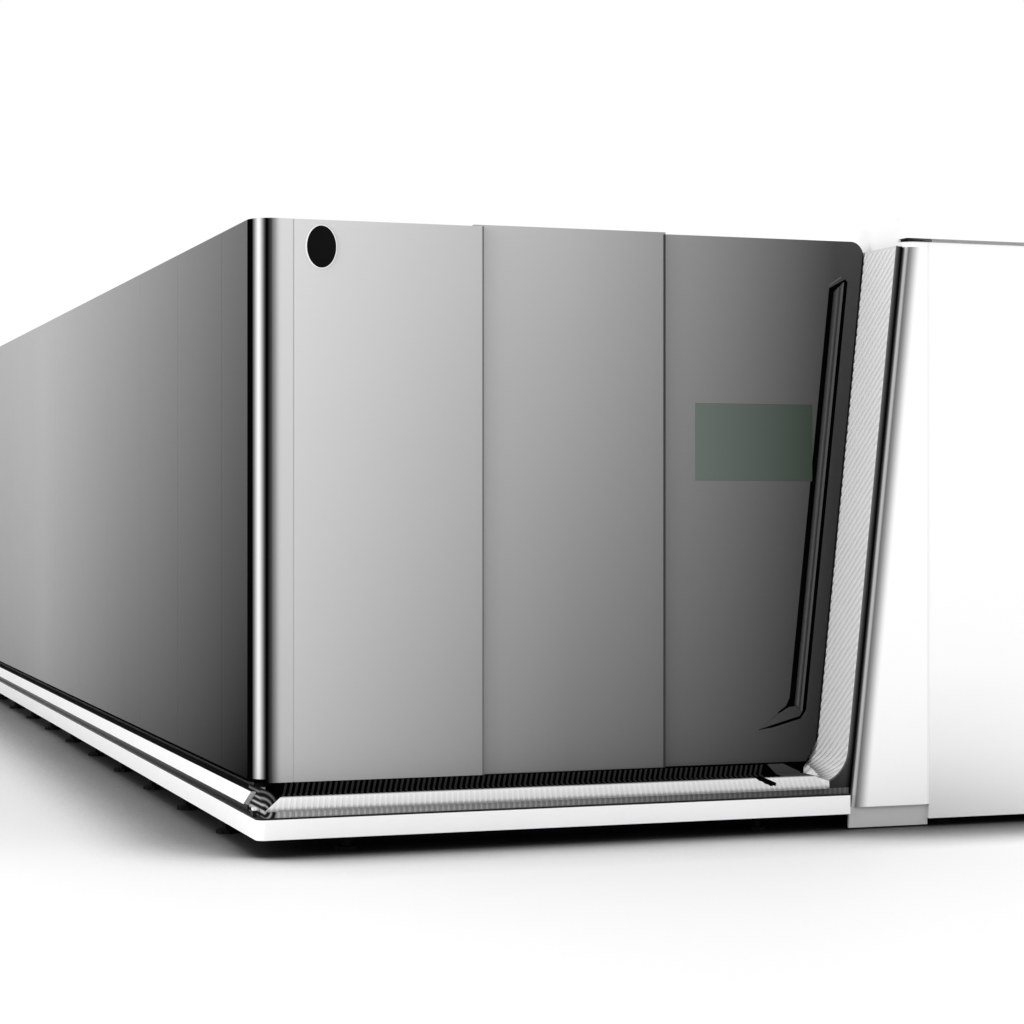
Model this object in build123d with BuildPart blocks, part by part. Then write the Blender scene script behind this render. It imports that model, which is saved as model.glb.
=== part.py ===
# Fiber laser cutting machine: a fully enclosed flat-bed cutter with a shuttle table.
# Millimetres, +Z up. +X runs along the front towards the service cabin, +Y runs back along the long side.
import os
from math import cos, radians, sin, tan

from build123d import *

os.makedirs("parts", exist_ok=True)

# Enclosure, service cabin and base
enclosure_width = 2570
enclosure_length = 8592
cabin_width = 1230
cabin_length = 3036
sill_reach = 200  # the door surround and the cabin stand this far in front of the door panels
hood_lip = 15
base_lip = 30
base_bottom = 60
band_top = 135
groove_top = 158
upper_band_top = 215
panel_bottom = 235
panel_top = 2230
frame_top = panel_top - 30
hood_height = 90
running_gap = 0.3  # between a moving piece and what guides it
seam_gap = 5
hinge_radius = 9
pin_radius = 5
pin_clearance = 0.05
hinge_stand_off = 10  # from a door's outer face to its hinge axis

# Cladding
panel_depth = 25
sheet_wall = 2
first_panel_end = 516
panel_pitch = 840
corner_radius = 85
tube = 60  # square tube of the enclosure frame

# Telescopic front door
leaf_thickness = 20
leaf_step = 25
leaf_overlap = 30
corner_panel_end = 148
fixed_panel_end = 858
middle_leaf_end = 1583
lean_foot = 2191  # where the leaning door edge would meet the floor
lean_angle = 6.1
handle_width = 76
handle_inset = 60
handle_depth = 12

# Sill and door surround
tread_reach = 100
tread_top = 195
jamb_thickness = 10
seal_width = 28
cabin_foot = 30
cabin_bottom = 84  # lower end of the pillar beside the door
cabin_top = panel_top - 17
cabin_wall = 25

# Cutting bed, gantry and shuttle table
bed_front = 420
bed_length = 3660
bed_beam_width = 180
bed_beam_top = 820
table_half_width = 765
table_side_gap = 25
gantry_rail_size = 28
beam_depth = 200
beam_height = 240
beam_wall = 10
gantry_park = 760  # front face of the parked gantry beam, behind the door panels
pinion_radius = 30
shaft_radius = 12
table_rail_offset = 700
table_rail_width = 24
table_rail_top = 560
wheel_radius = 45
wheel_width = 30
axle_radius = 15
table_front = 520
table_length = 3120
table_bottom = 655
table_height = 120
slat_pitch = 150
slat_height = 130
slat_thickness = 4
slat_teeth = 10
exchange_end = 252  # clear space between the exchange frame and the rear doors

machine_width = base_lip + enclosure_width + cabin_width + hinge_stand_off + hinge_radius
machine_depth = hood_lip + sill_reach + enclosure_length + base_lip

left_x = base_lip - machine_width / 2
right_x = left_x + enclosure_width
cabin_x = right_x + cabin_width
front_y = hood_lip + sill_reach - machine_depth / 2
rear_y = front_y + enclosure_length
sill_y = front_y - sill_reach
middle_x = (left_x + right_x) / 2
cabin_rear_y = front_y + cabin_length
lean = tan(radians(lean_angle))


# Where the leaning right edge of the door lies at a height
def lean_x(z):
    return left_x + lean_foot + z * lean


# A block between two corners, added to or cut from the part being built
def block(x, y, z, mode=Mode.ADD):
    with Locations(((x[0] + x[1]) / 2, (y[0] + y[1]) / 2, (z[0] + z[1]) / 2)):
        Box(x[1] - x[0], y[1] - y[0], z[1] - z[0], mode=mode)


# A round bar or bore between two heights, upright
def upright(x, y, z, radius, mode=Mode.ADD):
    with Locations((x, y, (z[0] + z[1]) / 2)):
        Cylinder(radius, z[1] - z[0], mode=mode)


def finish(node, name):
    node.part.label = name
    export_step(node.part, f"parts/{name}.step")


# Cladding panels: folded trays, open towards the inside
panel_height = panel_top - panel_bottom


def side_panel(x_face, inward, y_start, y_end):
    # inward is +1 on the left side and -1 on the right side
    x_in = x_face + inward * panel_depth
    with BuildPart() as panel:
        block(sorted((x_face, x_in)), (y_start, y_end), (panel_bottom, panel_top))
        skin = x_face + inward * sheet_wall
        block(
            sorted((skin, x_in)),
            (y_start + sheet_wall, y_end - sheet_wall),
            (panel_bottom + sheet_wall, panel_top - sheet_wall),
            mode=Mode.SUBTRACT,
        )
        outer = panel.edges().filter_by(Axis.Z).group_by(Axis.X)[0 if inward > 0 else -1]
        chamfer(outer, sheet_wall / 2)
    return panel


left_seams = [front_y + corner_radius, front_y + first_panel_end]
while left_seams[-1] + panel_pitch < rear_y - panel_pitch / 2:
    left_seams.append(left_seams[-1] + panel_pitch)
left_seams.append(rear_y)
for number in range(1, len(left_seams)):
    low = left_seams[number - 1] + (seam_gap / 2 if number > 1 else 0)
    high = left_seams[number] - (seam_gap / 2 if number < len(left_seams) - 1 else 0)
    finish(side_panel(left_x, 1, low, high), f"left_panel_{number:02d}")

right_panels = 2
right_pitch = (rear_y - cabin_rear_y) / right_panels
for number in range(right_panels):
    low = cabin_rear_y + number * right_pitch + (seam_gap / 2 if number else 0)
    high = cabin_rear_y + (number + 1) * right_pitch - (0 if number == right_panels - 1 else seam_gap / 2)
    finish(side_panel(right_x, -1, low, high), f"right_panel_{number + 1}")

# Welded frame that carries the cladding
header_y = front_y + 180  # front of the header beam, behind the door track
rear_jamb = 20
rear_hinges = (520, panel_top - 330)
hinge_height = 60
rear_axis_y = rear_y + hinge_stand_off
frame_left = left_x + panel_depth
frame_right = right_x - panel_depth
front_post_y = front_y + corner_radius + 5
rear_post_y = rear_y - panel_depth - tube - 10
post_y = [front_post_y] + [y - tube / 2 for y in left_seams[1:-1]] + [rear_post_y]
rear_axis_x = {-1: frame_left + rear_jamb + 2, 1: frame_right - rear_jamb - 2}
right_post_y = [
    front_post_y,
    front_y + cabin_length / 2,
    cabin_rear_y - tube,
    cabin_rear_y + right_pitch / 2,
    cabin_rear_y + right_pitch - tube / 2,
    cabin_rear_y + right_pitch * 1.5,
    rear_post_y,
]
cross_y = [header_y, post_y[2], post_y[4], post_y[6], post_y[8], rear_post_y]
ring_y = (front_post_y, rear_post_y + tube)
post_in = tube / 2
left_posts = [(frame_left + post_in, y + post_in) for y in post_y]
right_posts = [(frame_right - post_in, y + post_in) for y in right_post_y]
long_posts = [place for place in right_posts if place[1] < cabin_rear_y]
with BuildPart() as enclosure_frame:
    with BuildSketch(Plane.XY.offset(upper_band_top)):
        with Locations(*left_posts, *right_posts):
            Rectangle(tube, tube)
    extrude(amount=frame_top - upper_band_top)
    with BuildSketch(Plane.XY.offset(cabin_bottom)):
        with Locations(*long_posts):
            Rectangle(tube, tube)
    extrude(amount=upper_band_top - cabin_bottom)
    # top ring and cross beams
    with BuildSketch(Plane.XY.offset(frame_top - tube)):
        with Locations((frame_left + post_in, sum(ring_y) / 2), (frame_right - post_in, sum(ring_y) / 2)):
            Rectangle(tube, ring_y[1] - ring_y[0])
        with Locations(*[(middle_x, y + post_in) for y in cross_y]):
            Rectangle(frame_right - frame_left, tube)
    extrude(amount=tube)
    bottom_rail_z = (upper_band_top, upper_band_top + tube)
    block((frame_left, frame_left + tube), ring_y, bottom_rail_z)
    block((frame_right - tube, frame_right), (cabin_rear_y - tube, ring_y[1]), bottom_rail_z)
    block((frame_right, right_x), (right_post_y[0], cabin_rear_y), (frame_top - tube, frame_top))
    for side, edge in ((-1, frame_left), (1, frame_right)):
        jamb_x = sorted((edge, edge - side * rear_jamb))
        block(jamb_x, (ring_y[1] - 1, rear_y), (upper_band_top, frame_top))
        for z in rear_hinges:
            axis_x = rear_axis_x[side]
            block(sorted((edge, axis_x)), (rear_y, rear_axis_y), (z - hinge_height, z - running_gap))
            upright(axis_x, rear_axis_y, (z - hinge_height, z - running_gap), hinge_radius)
            upright(axis_x, rear_axis_y, (z - running_gap, z + hinge_height - 8), pin_radius)
finish(enclosure_frame, "enclosure_frame")

# Roof trays
roof_top = panel_top - 5
roof_split = post_y[6] + tube / 2
roof_spans = {
    "roof_panel_front": (header_y, roof_split - seam_gap / 2),
    "roof_panel_rear": (roof_split + seam_gap / 2, rear_y),
}
spigot_radius = 100
spigot_height = 60
spigot_wall = 3
spigot_place = (middle_x, front_y + 2600)
for name, (low, high) in roof_spans.items():
    with BuildPart() as roof:
        block((frame_left, frame_right), (low, high), (frame_top, roof_top))
        block(
            (frame_left + sheet_wall, frame_right - sheet_wall),
            (low + sheet_wall, high - sheet_wall),
            (frame_top, roof_top - sheet_wall),
            mode=Mode.SUBTRACT,
        )
        if name == "roof_panel_front":
            spigot_top = roof_top + spigot_height
            upright(*spigot_place, (roof_top - sheet_wall, spigot_top), spigot_radius)
            upright(
                *spigot_place,
                (frame_top, spigot_top),
                spigot_radius - spigot_wall,
                mode=Mode.SUBTRACT,
            )
    finish(roof, name)

# Front left corner: a black quarter column with a light strip let into it, and the narrow corner panel
column_wall = 20
column_end = 76  # degrees round the corner from the left side
strip_start = 22
strip_end = 62
strip_depth = 8
column_centre = (left_x + corner_radius, front_y + corner_radius)


# A point on a circle about the column's centre, by the angle round the corner
def on_column(radius, angle):
    a = radians(angle)
    return (column_centre[0] - radius * cos(a), column_centre[1] - radius * sin(a))


def column_sector(outer, inner, start, end, z_low, z_high):
    middle = (start + end) / 2
    with BuildPart() as sector:
        with BuildSketch(Plane.XY.offset(z_low)):
            with BuildLine():
                ThreePointArc(on_column(outer, start), on_column(outer, middle), on_column(outer, end))
                Line(on_column(outer, end), on_column(inner, end))
                ThreePointArc(on_column(inner, end), on_column(inner, middle), on_column(inner, start))
                Line(on_column(inner, start), on_column(outer, start))
            make_face()
        extrude(amount=z_high - z_low)
    return sector


inner_radius = corner_radius - column_wall
strip_seat = column_sector(
    corner_radius + 1,
    corner_radius - strip_depth,
    strip_start,
    strip_end,
    panel_bottom + 12,
    panel_top - 12,
)
with BuildPart() as corner_column:
    add(column_sector(corner_radius, inner_radius, 0, column_end, panel_bottom, panel_top).part)
    add(strip_seat.part, mode=Mode.SUBTRACT)
finish(corner_column, "corner_column")
finish(
    column_sector(
        corner_radius - 1,
        corner_radius - strip_depth + 0.2,
        strip_start + 0.3,
        strip_end - 0.3,
        panel_bottom + 12.5,
        panel_top - 12.5,
    ),
    "light_strip",
)

with BuildPart() as corner_panel:
    with BuildSketch(Plane.XY.offset(panel_bottom)):
        with BuildLine():
            panel_start = column_end + 0.5
            bend = (panel_start + 90) / 2
            ThreePointArc(
                on_column(corner_radius, panel_start),
                on_column(corner_radius, bend),
                on_column(corner_radius, 90),
            )
            flat_end = left_x + corner_panel_end - seam_gap / 2
            Polyline(
                on_column(corner_radius, 90),
                (flat_end, front_y),
                (flat_end, front_y + leaf_thickness),
                on_column(inner_radius, 90),
            )
            ThreePointArc(
                on_column(inner_radius, 90),
                on_column(inner_radius, bend),
                on_column(inner_radius, panel_start),
            )
            Line(on_column(inner_radius, panel_start), on_column(corner_radius, panel_start))
        make_face()
    extrude(amount=panel_height)
finish(corner_panel, "corner_panel")

# Round blank badge on the fixed door panel
badge_radius = 51
badge_place = (left_x + 249, panel_top - 92)
badge_thickness = 3

# Front door panels: one fixed, two that slide left behind it
fixed_left = left_x + corner_panel_end + seam_gap / 2
with BuildPart() as fixed_door_panel:
    fixed_x = (fixed_left, left_x + fixed_panel_end)
    block(fixed_x, (front_y, front_y + leaf_thickness), (panel_bottom, panel_top))
    outer = fixed_door_panel.edges().filter_by(Axis.Z).group_by(Axis.Y)[0]
    chamfer(outer, sheet_wall / 2)
finish(fixed_door_panel, "fixed_door_panel")

with BuildPart() as blank_badge:
    with BuildSketch(Plane.XZ.offset(-front_y)):
        with Locations((badge_place[0], badge_place[1])):
            Ellipse(badge_radius, badge_radius * 1.38)
    extrude(amount=badge_thickness)
finish(blank_badge, "blank_badge")

# Double track: a rolled I section. The handle leaf hangs on its front flange, the middle leaf on its rear one
track_front = front_y + 92
track_depth = 72
track_height = 70
track_top = frame_top - 10
track_web = 6
with BuildPart() as door_track:
    track_x = (frame_left + tube, frame_right - tube)
    for z in (track_top - track_height, track_top - track_web):
        block(track_x, (track_front, track_front + track_depth), (z, z + track_web))
    web_y = track_front + (track_depth - track_web) / 2
    block(track_x, (web_y, web_y + track_web), (track_top - track_height, track_top))
    # end plates that bolt to the corner posts
    for x in (track_x[0], track_x[1] - track_web):
        block((x, x + track_web), (post_y[0], post_y[0] + tube), (track_top - track_height, track_top))
finish(door_track, "door_track")

shoe_height = 24
shoe_z = track_top - track_height + track_web + running_gap
hanger_width = 90
hanger_plate = 4
tongue = 6
guide_base = 185


# The bottom tongue that runs in the floor guide
def tongue_block(x, y_face):
    y = y_face + (leaf_thickness - tongue) / 2
    block(x, (y, y + tongue), (guide_base + 13, panel_bottom))


jamb_turn = 300  # the height where the leaning jamb starts to curl in to its toe
jamb_toe_x = lean_x(jamb_turn) - 76

middle_y = front_y + leaf_step
middle_start = left_x + fixed_panel_end - leaf_overlap
middle_end = left_x + middle_leaf_end
with BuildPart() as door_leaf_middle:
    block((middle_start, middle_end), (middle_y, middle_y + leaf_thickness), (panel_bottom, panel_top))
    outer = door_leaf_middle.edges().filter_by(Axis.Z).group_by(Axis.Y)[0]
    chamfer(outer, sheet_wall / 2)
    tongue_block((middle_start, middle_end), middle_y)
    # two straps reach back over the handle leaf and the track, to shoes on its rear flange
    for x in (middle_start + 60, middle_end - 60 - hanger_width):
        span = (x, x + hanger_width)
        strap_end = track_front + track_depth + 4 + hanger_plate
        block(span, (middle_y, strap_end), (panel_top - hanger_plate, panel_top))
        block(span, (strap_end - hanger_plate, strap_end), (shoe_z, panel_top))
        block(span, (web_y + track_web + 4, strap_end), (shoe_z, shoe_z + shoe_height))
finish(door_leaf_middle, "door_leaf_middle")

leaf_y = front_y + 2 * leaf_step
leaf_start = middle_end - leaf_overlap
leaf_top = panel_top - 8
leaf_round = 55
chamfer_rise = 87
chamfer_run = 40
window_x = (left_x + 1714, left_x + 2203)
window_z = (1309, 1602)
window_lap = 12
handle_top = panel_top - 178
handle_tip = panel_top - 141
handle_bottom = 430

handle_points = [
    (lean_x(handle_top) - handle_inset - handle_width, handle_top),
    (lean_x(handle_tip) - handle_inset - 10, handle_tip),
    (lean_x(handle_tip) - handle_inset, handle_tip - 12),
    (lean_x(handle_bottom) - handle_inset, handle_bottom),
    (lean_x(handle_bottom) - handle_inset - 36, handle_bottom - 48),
    (left_x + 1974, 360),
    (left_x + 2062, 423),
    (lean_x(handle_bottom) - handle_inset - handle_width - 14, handle_bottom + 10),
    (lean_x(handle_bottom + 50) - handle_inset - handle_width, handle_bottom + 50),
]
with BuildPart() as door_leaf_front:
    with BuildSketch(Plane.XZ.offset(-leaf_y)) as leaf_outline:
        with BuildLine():
            Polyline(
                (leaf_start, panel_bottom),
                (lean_x(panel_bottom) - chamfer_run, panel_bottom),
                (lean_x(panel_bottom + chamfer_rise), panel_bottom + chamfer_rise),
                (lean_x(leaf_top), leaf_top),
                (leaf_start, leaf_top),
                close=True,
            )
        make_face()
        fillet(leaf_outline.vertices().group_by(Axis.Y)[-1].sort_by(Axis.X)[-1], leaf_round)
    extrude(amount=-leaf_thickness)
    tongue_block((leaf_start, jamb_toe_x - 8), leaf_y)
    # window opening, with a lip behind the pane
    block(window_x, (leaf_y, leaf_y + leaf_thickness - 6), window_z, mode=Mode.SUBTRACT)
    block(
        (window_x[0] + window_lap, window_x[1] - window_lap),
        (leaf_y, leaf_y + leaf_thickness),
        (window_z[0] + window_lap, window_z[1] - window_lap),
        mode=Mode.SUBTRACT,
    )
    # long finger recess beside the leaning edge
    with BuildSketch(Plane.XZ.offset(-leaf_y)):
        with BuildLine():
            Polyline(*handle_points, close=True)
        make_face()
    extrude(amount=-handle_depth, mode=Mode.SUBTRACT)
    # two brackets behind the leaf, with shoes on the front flange of the track
    for x in (leaf_start + 60, lean_x(leaf_top) - leaf_round - 60 - hanger_width):
        span = (x, x + hanger_width)
        leaf_back = leaf_y + leaf_thickness
        block(span, (leaf_back, leaf_back + hanger_plate), (shoe_z, track_top))
        block(span, (leaf_back, web_y - 4), (shoe_z, shoe_z + shoe_height))
finish(door_leaf_front, "door_leaf_front")

with BuildPart() as viewing_window:
    block(
        (window_x[0] + 0.2, window_x[1] - 0.2),
        (leaf_y + 0.5, leaf_y + leaf_thickness - 6),
        (window_z[0] + 0.2, window_z[1] - 0.2),
    )
finish(viewing_window, "viewing_window")

bar_left = 30
bar_right = 15
bar_top = handle_top - 18
bar_bottom = handle_bottom + 45
with BuildPart() as door_handle:
    with BuildSketch(Plane.XZ.offset(-leaf_y + 2)):
        with BuildLine():
            left_edge = handle_inset + handle_width - bar_left
            right_edge = handle_inset + bar_right
            Polyline(
                (lean_x(bar_bottom) - left_edge, bar_bottom),
                (lean_x(bar_bottom - 22) - right_edge, bar_bottom - 22),
                (lean_x(bar_top + 18) - right_edge, bar_top + 18),
                (lean_x(bar_top) - left_edge, bar_top),
                close=True,
            )
        make_face()
    extrude(amount=-(handle_depth + 2))
    bar_front = door_handle.faces().sort_by(Axis.Y)[0]
    chamfer(bar_front.edges(), 2)
finish(door_handle, "door_handle")

front_band_end = lean_x(cabin_bottom) + jamb_thickness + seal_width - 0.5

# Sill beam under the door. Its left end is a ribbed boss: quarter rings about one centre, each standing
# farther forward than the wider one behind it
ring_radii = (76, 60, 44, 28, 12)
ring_reach = 95  # how far the widest ring stands in front of the door panels
ring_step = 20
ring_centre_z = 150
band_skin = 15
ring_depth = 60  # depth of the base ring under the long sides
sill_left = left_x + ring_radii[0] + 4
sill_right = jamb_toe_x - 4
sill_back = front_y + corner_radius
rail_start_y = front_y + 60
with BuildPart() as sill_beam:
    block((left_x, front_band_end), (sill_y + band_skin, rail_start_y), (base_bottom, groove_top))
    block((left_x + ring_depth, front_band_end), (rail_start_y, sill_back), (base_bottom, groove_top))
    block((left_x + ring_depth, sill_right), (front_y - tread_reach, sill_back), (groove_top, guide_base))
    for number, radius in enumerate(ring_radii):
        reach = ring_reach + number * ring_step
        with BuildSketch(Plane.XZ.offset(reach - front_y)):
            with BuildLine():
                top = (left_x, ring_centre_z + radius)
                side = (left_x + radius, ring_centre_z)
                bend = (left_x + radius * sin(radians(45)), ring_centre_z + radius * cos(radians(45)))
                ThreePointArc(top, bend, side)
                Polyline(side, (left_x, ring_centre_z), top)
            make_face()
        extrude(amount=-(reach + rail_start_y - front_y))
finish(sill_beam, "sill_beam")

# Sloped nose of the sill, cut aslant at the boss and mitred into the leaning jamb
nose_back = front_y - tread_reach
with BuildPart() as sill_nose:
    with BuildSketch(Plane.YZ.offset(left_x)):
        with BuildLine():
            Polyline(
                (sill_y, groove_top),
                (sill_y, groove_top + 5),
                (nose_back - 4, tread_top + 2),
                (nose_back, tread_top + 2),
                (nose_back, groove_top),
                close=True,
            )
        make_face()
    extrude(amount=sill_right - left_x)
    with BuildSketch(Plane.XY.offset(groove_top)):
        with BuildLine():
            Polyline((left_x, sill_y), (sill_left, nose_back), (left_x, nose_back), close=True)
        make_face()
    extrude(amount=tread_top + 2 - groove_top, mode=Mode.SUBTRACT)
finish(sill_nose, "sill_nose")

# Black ribbed tread in front of the door panels
tread_end = jamb_toe_x - 62
with BuildPart() as sill_tread:
    block((sill_left, tread_end), (nose_back, front_y + 4), (guide_base, tread_top))
finish(sill_tread, "sill_tread")

# Floor guide for the door: a black extrusion with two grooves
with BuildPart() as door_guide:
    with BuildSketch(Plane.YZ.offset(sill_left)):
        with BuildLine():
            groove_half = tongue / 2 + 3
            first = middle_y + leaf_thickness / 2
            second = leaf_y + leaf_thickness / 2
            rib_top = guide_base + 27
            base_top = guide_base + 10
            Polyline(
                (front_y + 4, guide_base),
                (front_y + 4, panel_bottom),
                (front_y + 16, panel_bottom),
                (front_y + 16, base_top),
                (first - groove_half - 4, base_top),
                (first - groove_half - 4, rib_top),
                (first - groove_half, rib_top),
                (first - groove_half, base_top),
                (first + groove_half, base_top),
                (first + groove_half, rib_top),
                (second - groove_half, rib_top),
                (second - groove_half, base_top),
                (second + groove_half, base_top),
                (second + groove_half, rib_top),
                (second + groove_half + 4, rib_top),
                (second + groove_half + 4, guide_base),
                close=True,
            )
        make_face()
    extrude(amount=sill_right - sill_left)
finish(door_guide, "door_guide")

# Lower white band: along the left side, round the corner and across the front
with BuildPart() as base_rail_front:
    with BuildSketch(Plane.XY.offset(base_bottom)):
        with BuildLine():
            outer_x = left_x - base_lip
            bend = (left_x - base_lip * cos(radians(45)), sill_y + base_lip * (1 - sin(radians(45))))
            ThreePointArc((outer_x, sill_y + base_lip), bend, (left_x, sill_y))
            Polyline(
                (left_x, sill_y),
                (front_band_end, sill_y),
                (front_band_end, sill_y + band_skin),
                (left_x, sill_y + band_skin),
                (left_x, rail_start_y),
                (outer_x, rail_start_y),
                (outer_x, sill_y + base_lip),
            )
        make_face()
    extrude(amount=band_top - base_bottom)
    # end stop on the band beside the boss
    stop_y = (front_y - ring_reach - 20, front_y - ring_reach)
    block((left_x - 26, left_x - 12), stop_y, (band_top, groove_top + 6))
finish(base_rail_front, "base_rail_front")

# Base ring under the long sides and the rear, with two bands and a groove between them
with BuildPart() as base_frame:
    with BuildLine() as ring_path:
        Polyline(
            (left_x, rail_start_y, 0),
            (left_x, rear_y, 0),
            (right_x, rear_y, 0),
            (right_x, cabin_rear_y + 1, 0),
        )
    profile_plane = Plane(origin=(left_x, rail_start_y, 0), x_dir=(-1, 0, 0), z_dir=(0, 1, 0))
    with BuildSketch(profile_plane) as ring_profile:
        with BuildLine():
            Polyline(
                (-ring_depth, base_bottom),
                (base_lip, base_bottom),
                (base_lip, band_top),
                (5, band_top),
                (5, groove_top),
                (20, groove_top),
                (20, upper_band_top),
                (-ring_depth, upper_band_top),
                (-ring_depth, upper_band_top - 8),
                (-8, upper_band_top - 8),
                (-8, base_bottom + 8),
                (-ring_depth, base_bottom + 8),
                close=True,
            )
        make_face()
    sweep(sections=ring_profile.sketch, path=ring_path.line, transition=Transition.RIGHT)
    # the upper band runs on past the corner column and ends aslant
    with BuildSketch(Plane.YZ.offset(left_x - 20)):
        with BuildLine():
            Polyline(
                (rail_start_y, groove_top),
                (rail_start_y, upper_band_top),
                (front_y - 61, upper_band_top),
                close=True,
            )
        make_face()
    extrude(amount=20)
finish(base_frame, "base_frame")

# Leaning jamb, seal strip and pillar at the right of the door bay
surround_back = front_y + corner_radius
jamb_top = panel_top - 35
jamb_foot = 190
jamb_gap = 4


with BuildPart() as ribbed_jamb:
    with BuildSketch(Plane.XZ.offset(-sill_y)):
        with BuildLine():
            turn = (lean_x(jamb_turn) + jamb_gap, jamb_turn)
            toe = (jamb_toe_x, jamb_foot)
            curve = (lean_x(jamb_turn) - 22, jamb_turn - 68)
            ThreePointArc(toe, curve, turn)
            Polyline(
                turn,
                (lean_x(jamb_top) + jamb_gap, jamb_top),
                (lean_x(jamb_top) + jamb_thickness, jamb_top),
                (lean_x(jamb_turn) + jamb_thickness, jamb_turn),
            )
            outer_curve = (curve[0] + 5, curve[1] - 4)
            heel = (toe[0] + 3, toe[1] - 6)
            ThreePointArc((lean_x(jamb_turn) + jamb_thickness, jamb_turn), outer_curve, heel)
            Line(heel, toe)
        make_face()
    extrude(amount=-(surround_back - sill_y))
finish(ribbed_jamb, "ribbed_jamb")

pillar_edge = jamb_thickness + seal_width
pillar_round = 50
with BuildPart() as pillar:
    with BuildSketch(Plane.XZ.offset(-sill_y)):
        with BuildLine():
            Polyline(
                (lean_x(cabin_bottom) + pillar_edge, cabin_bottom),
                (right_x - 0.5, cabin_bottom),
                (right_x - 0.5, cabin_top),
                (lean_x(cabin_top) + pillar_edge, cabin_top),
                close=True,
            )
        make_face()
    extrude(amount=-(surround_back - sill_y))
    leaning_edge = pillar.faces().sort_by(Axis.Y)[0].edges().sort_by(Axis.X)[0]
    fillet(leaning_edge, pillar_round)
    offset(amount=-4, openings=pillar.faces().sort_by(Axis.Y)[-1])
finish(pillar, "pillar")

with BuildPart() as jamb_seal:
    with BuildSketch(Plane.XZ.offset(-(sill_y + 15))):
        with BuildLine():
            inner = jamb_thickness + running_gap
            ThreePointArc(
                (lean_x(jamb_turn) + inner, jamb_turn),
                (outer_curve[0] + running_gap, outer_curve[1] - running_gap),
                (heel[0] + running_gap, heel[1] - running_gap),
            )
            Polyline(
                (heel[0] + running_gap, heel[1] - running_gap),
                (heel[0] + running_gap, groove_top + running_gap),
                (lean_x(groove_top) + pillar_edge - running_gap, groove_top + running_gap),
                (lean_x(jamb_top) + pillar_edge - running_gap, jamb_top),
                (lean_x(jamb_top) + inner, jamb_top),
                (lean_x(jamb_turn) + inner, jamb_turn),
            )
        make_face()
    extrude(amount=-(surround_back - sill_y - 15))
finish(jamb_seal, "jamb_seal")

# Service cabin: a double-skinned box, open on its right side for the service door
door_gap = 4
door_y = (front_y + 500, front_y + 1600)
door_z = (200, panel_top - 180)
cabin_hinges = (450, panel_top - 430)
with BuildPart() as cabin_shell:
    block((right_x, cabin_x), (sill_y, cabin_rear_y), (cabin_foot, cabin_top))
    front_edges = cabin_shell.edges().filter_by(Axis.Z).group_by(Axis.X)[-1]
    fillet(front_edges, 20)
    block(
        (right_x + cabin_wall, cabin_x - cabin_wall),
        (sill_y + cabin_wall, cabin_rear_y - cabin_wall),
        (cabin_foot + cabin_wall, cabin_top - cabin_wall),
        mode=Mode.SUBTRACT,
    )
    block((cabin_x - cabin_wall, cabin_x), door_y, door_z, mode=Mode.SUBTRACT)
    for z in cabin_hinges:
        axis_x = cabin_x + hinge_stand_off
        axis_y = door_y[0] + door_gap
        block((cabin_x, axis_x), (axis_y - 40, axis_y), (z - hinge_height, z - running_gap))
        upright(axis_x, axis_y, (z - hinge_height, z - running_gap), hinge_radius)
        upright(axis_x, axis_y, (z - running_gap, z + hinge_height - 8), pin_radius)
finish(cabin_shell, "cabin_shell")

with BuildPart() as cabin_door:
    block(
        (cabin_x - cabin_wall, cabin_x),
        (door_y[0] + door_gap, door_y[1] - door_gap),
        (door_z[0] + door_gap, door_z[1] - door_gap),
    )
    block(
        (cabin_x - cabin_wall, cabin_x - sheet_wall * 2),
        (door_y[0] + door_gap + 30, door_y[1] - door_gap - 30),
        (door_z[0] + door_gap + 30, door_z[1] - door_gap - 30),
        mode=Mode.SUBTRACT,
    )
    for z in cabin_hinges:
        block((cabin_x, axis_x), (axis_y, axis_y + 40), (z, z + hinge_height))
        upright(axis_x, axis_y, (z, z + hinge_height), hinge_radius)
        upright(axis_x, axis_y, (z, z + hinge_height), pin_radius + pin_clearance, mode=Mode.SUBTRACT)
finish(cabin_door, "cabin_door")

# Hood over the cabin and the pillar
hood_left = lean_x(cabin_top) + pillar_edge
hood_bottom = cabin_top + 12
hood_wall = 4
with BuildPart() as hood:
    hood_top = hood_bottom + hood_height
    block((hood_left, cabin_x), (sill_y - hood_lip, cabin_rear_y), (hood_bottom, hood_top))
    top_edges = hood.faces().sort_by(Axis.Z)[-1].edges()
    fillet(top_edges, 25)
    offset(amount=-hood_wall, openings=hood.faces().sort_by(Axis.Z)[0])
    # inset rim that stands on the cabin and leaves a shadow gap under the hood
    rim_z = (cabin_top, hood_top - hood_wall)
    block((right_x + 25, cabin_x - 25), (sill_y + 25, cabin_rear_y - 25), rim_z)
    block((right_x + 33, cabin_x - 33), (sill_y + 33, cabin_rear_y - 33), rim_z, mode=Mode.SUBTRACT)
    # its left end stands on the pillar
    block((hood_left, hood_left + 10), (sill_y + pillar_round, surround_back), rim_z)
finish(hood, "hood")

source_height = 1150
with BuildPart() as laser_source:
    source_x = (right_x + cabin_wall + 200, cabin_x - 250)
    source_y = (door_y[0] + 100, door_y[0] + 1000)
    source_z = (cabin_foot + cabin_wall, cabin_foot + cabin_wall + source_height)
    block(source_x, source_y, source_z)
    vertical = laser_source.edges().filter_by(Axis.Z)
    fillet(vertical, 20)
    for number in range(8):
        z = source_z[0] + 150 + number * 100
        louvre_y = (source_y[0] + 120, source_y[1] - 120)
        block((source_x[1] - 12, source_x[1]), louvre_y, (z, z + 40), mode=Mode.SUBTRACT)
finish(laser_source, "laser_source")

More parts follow.
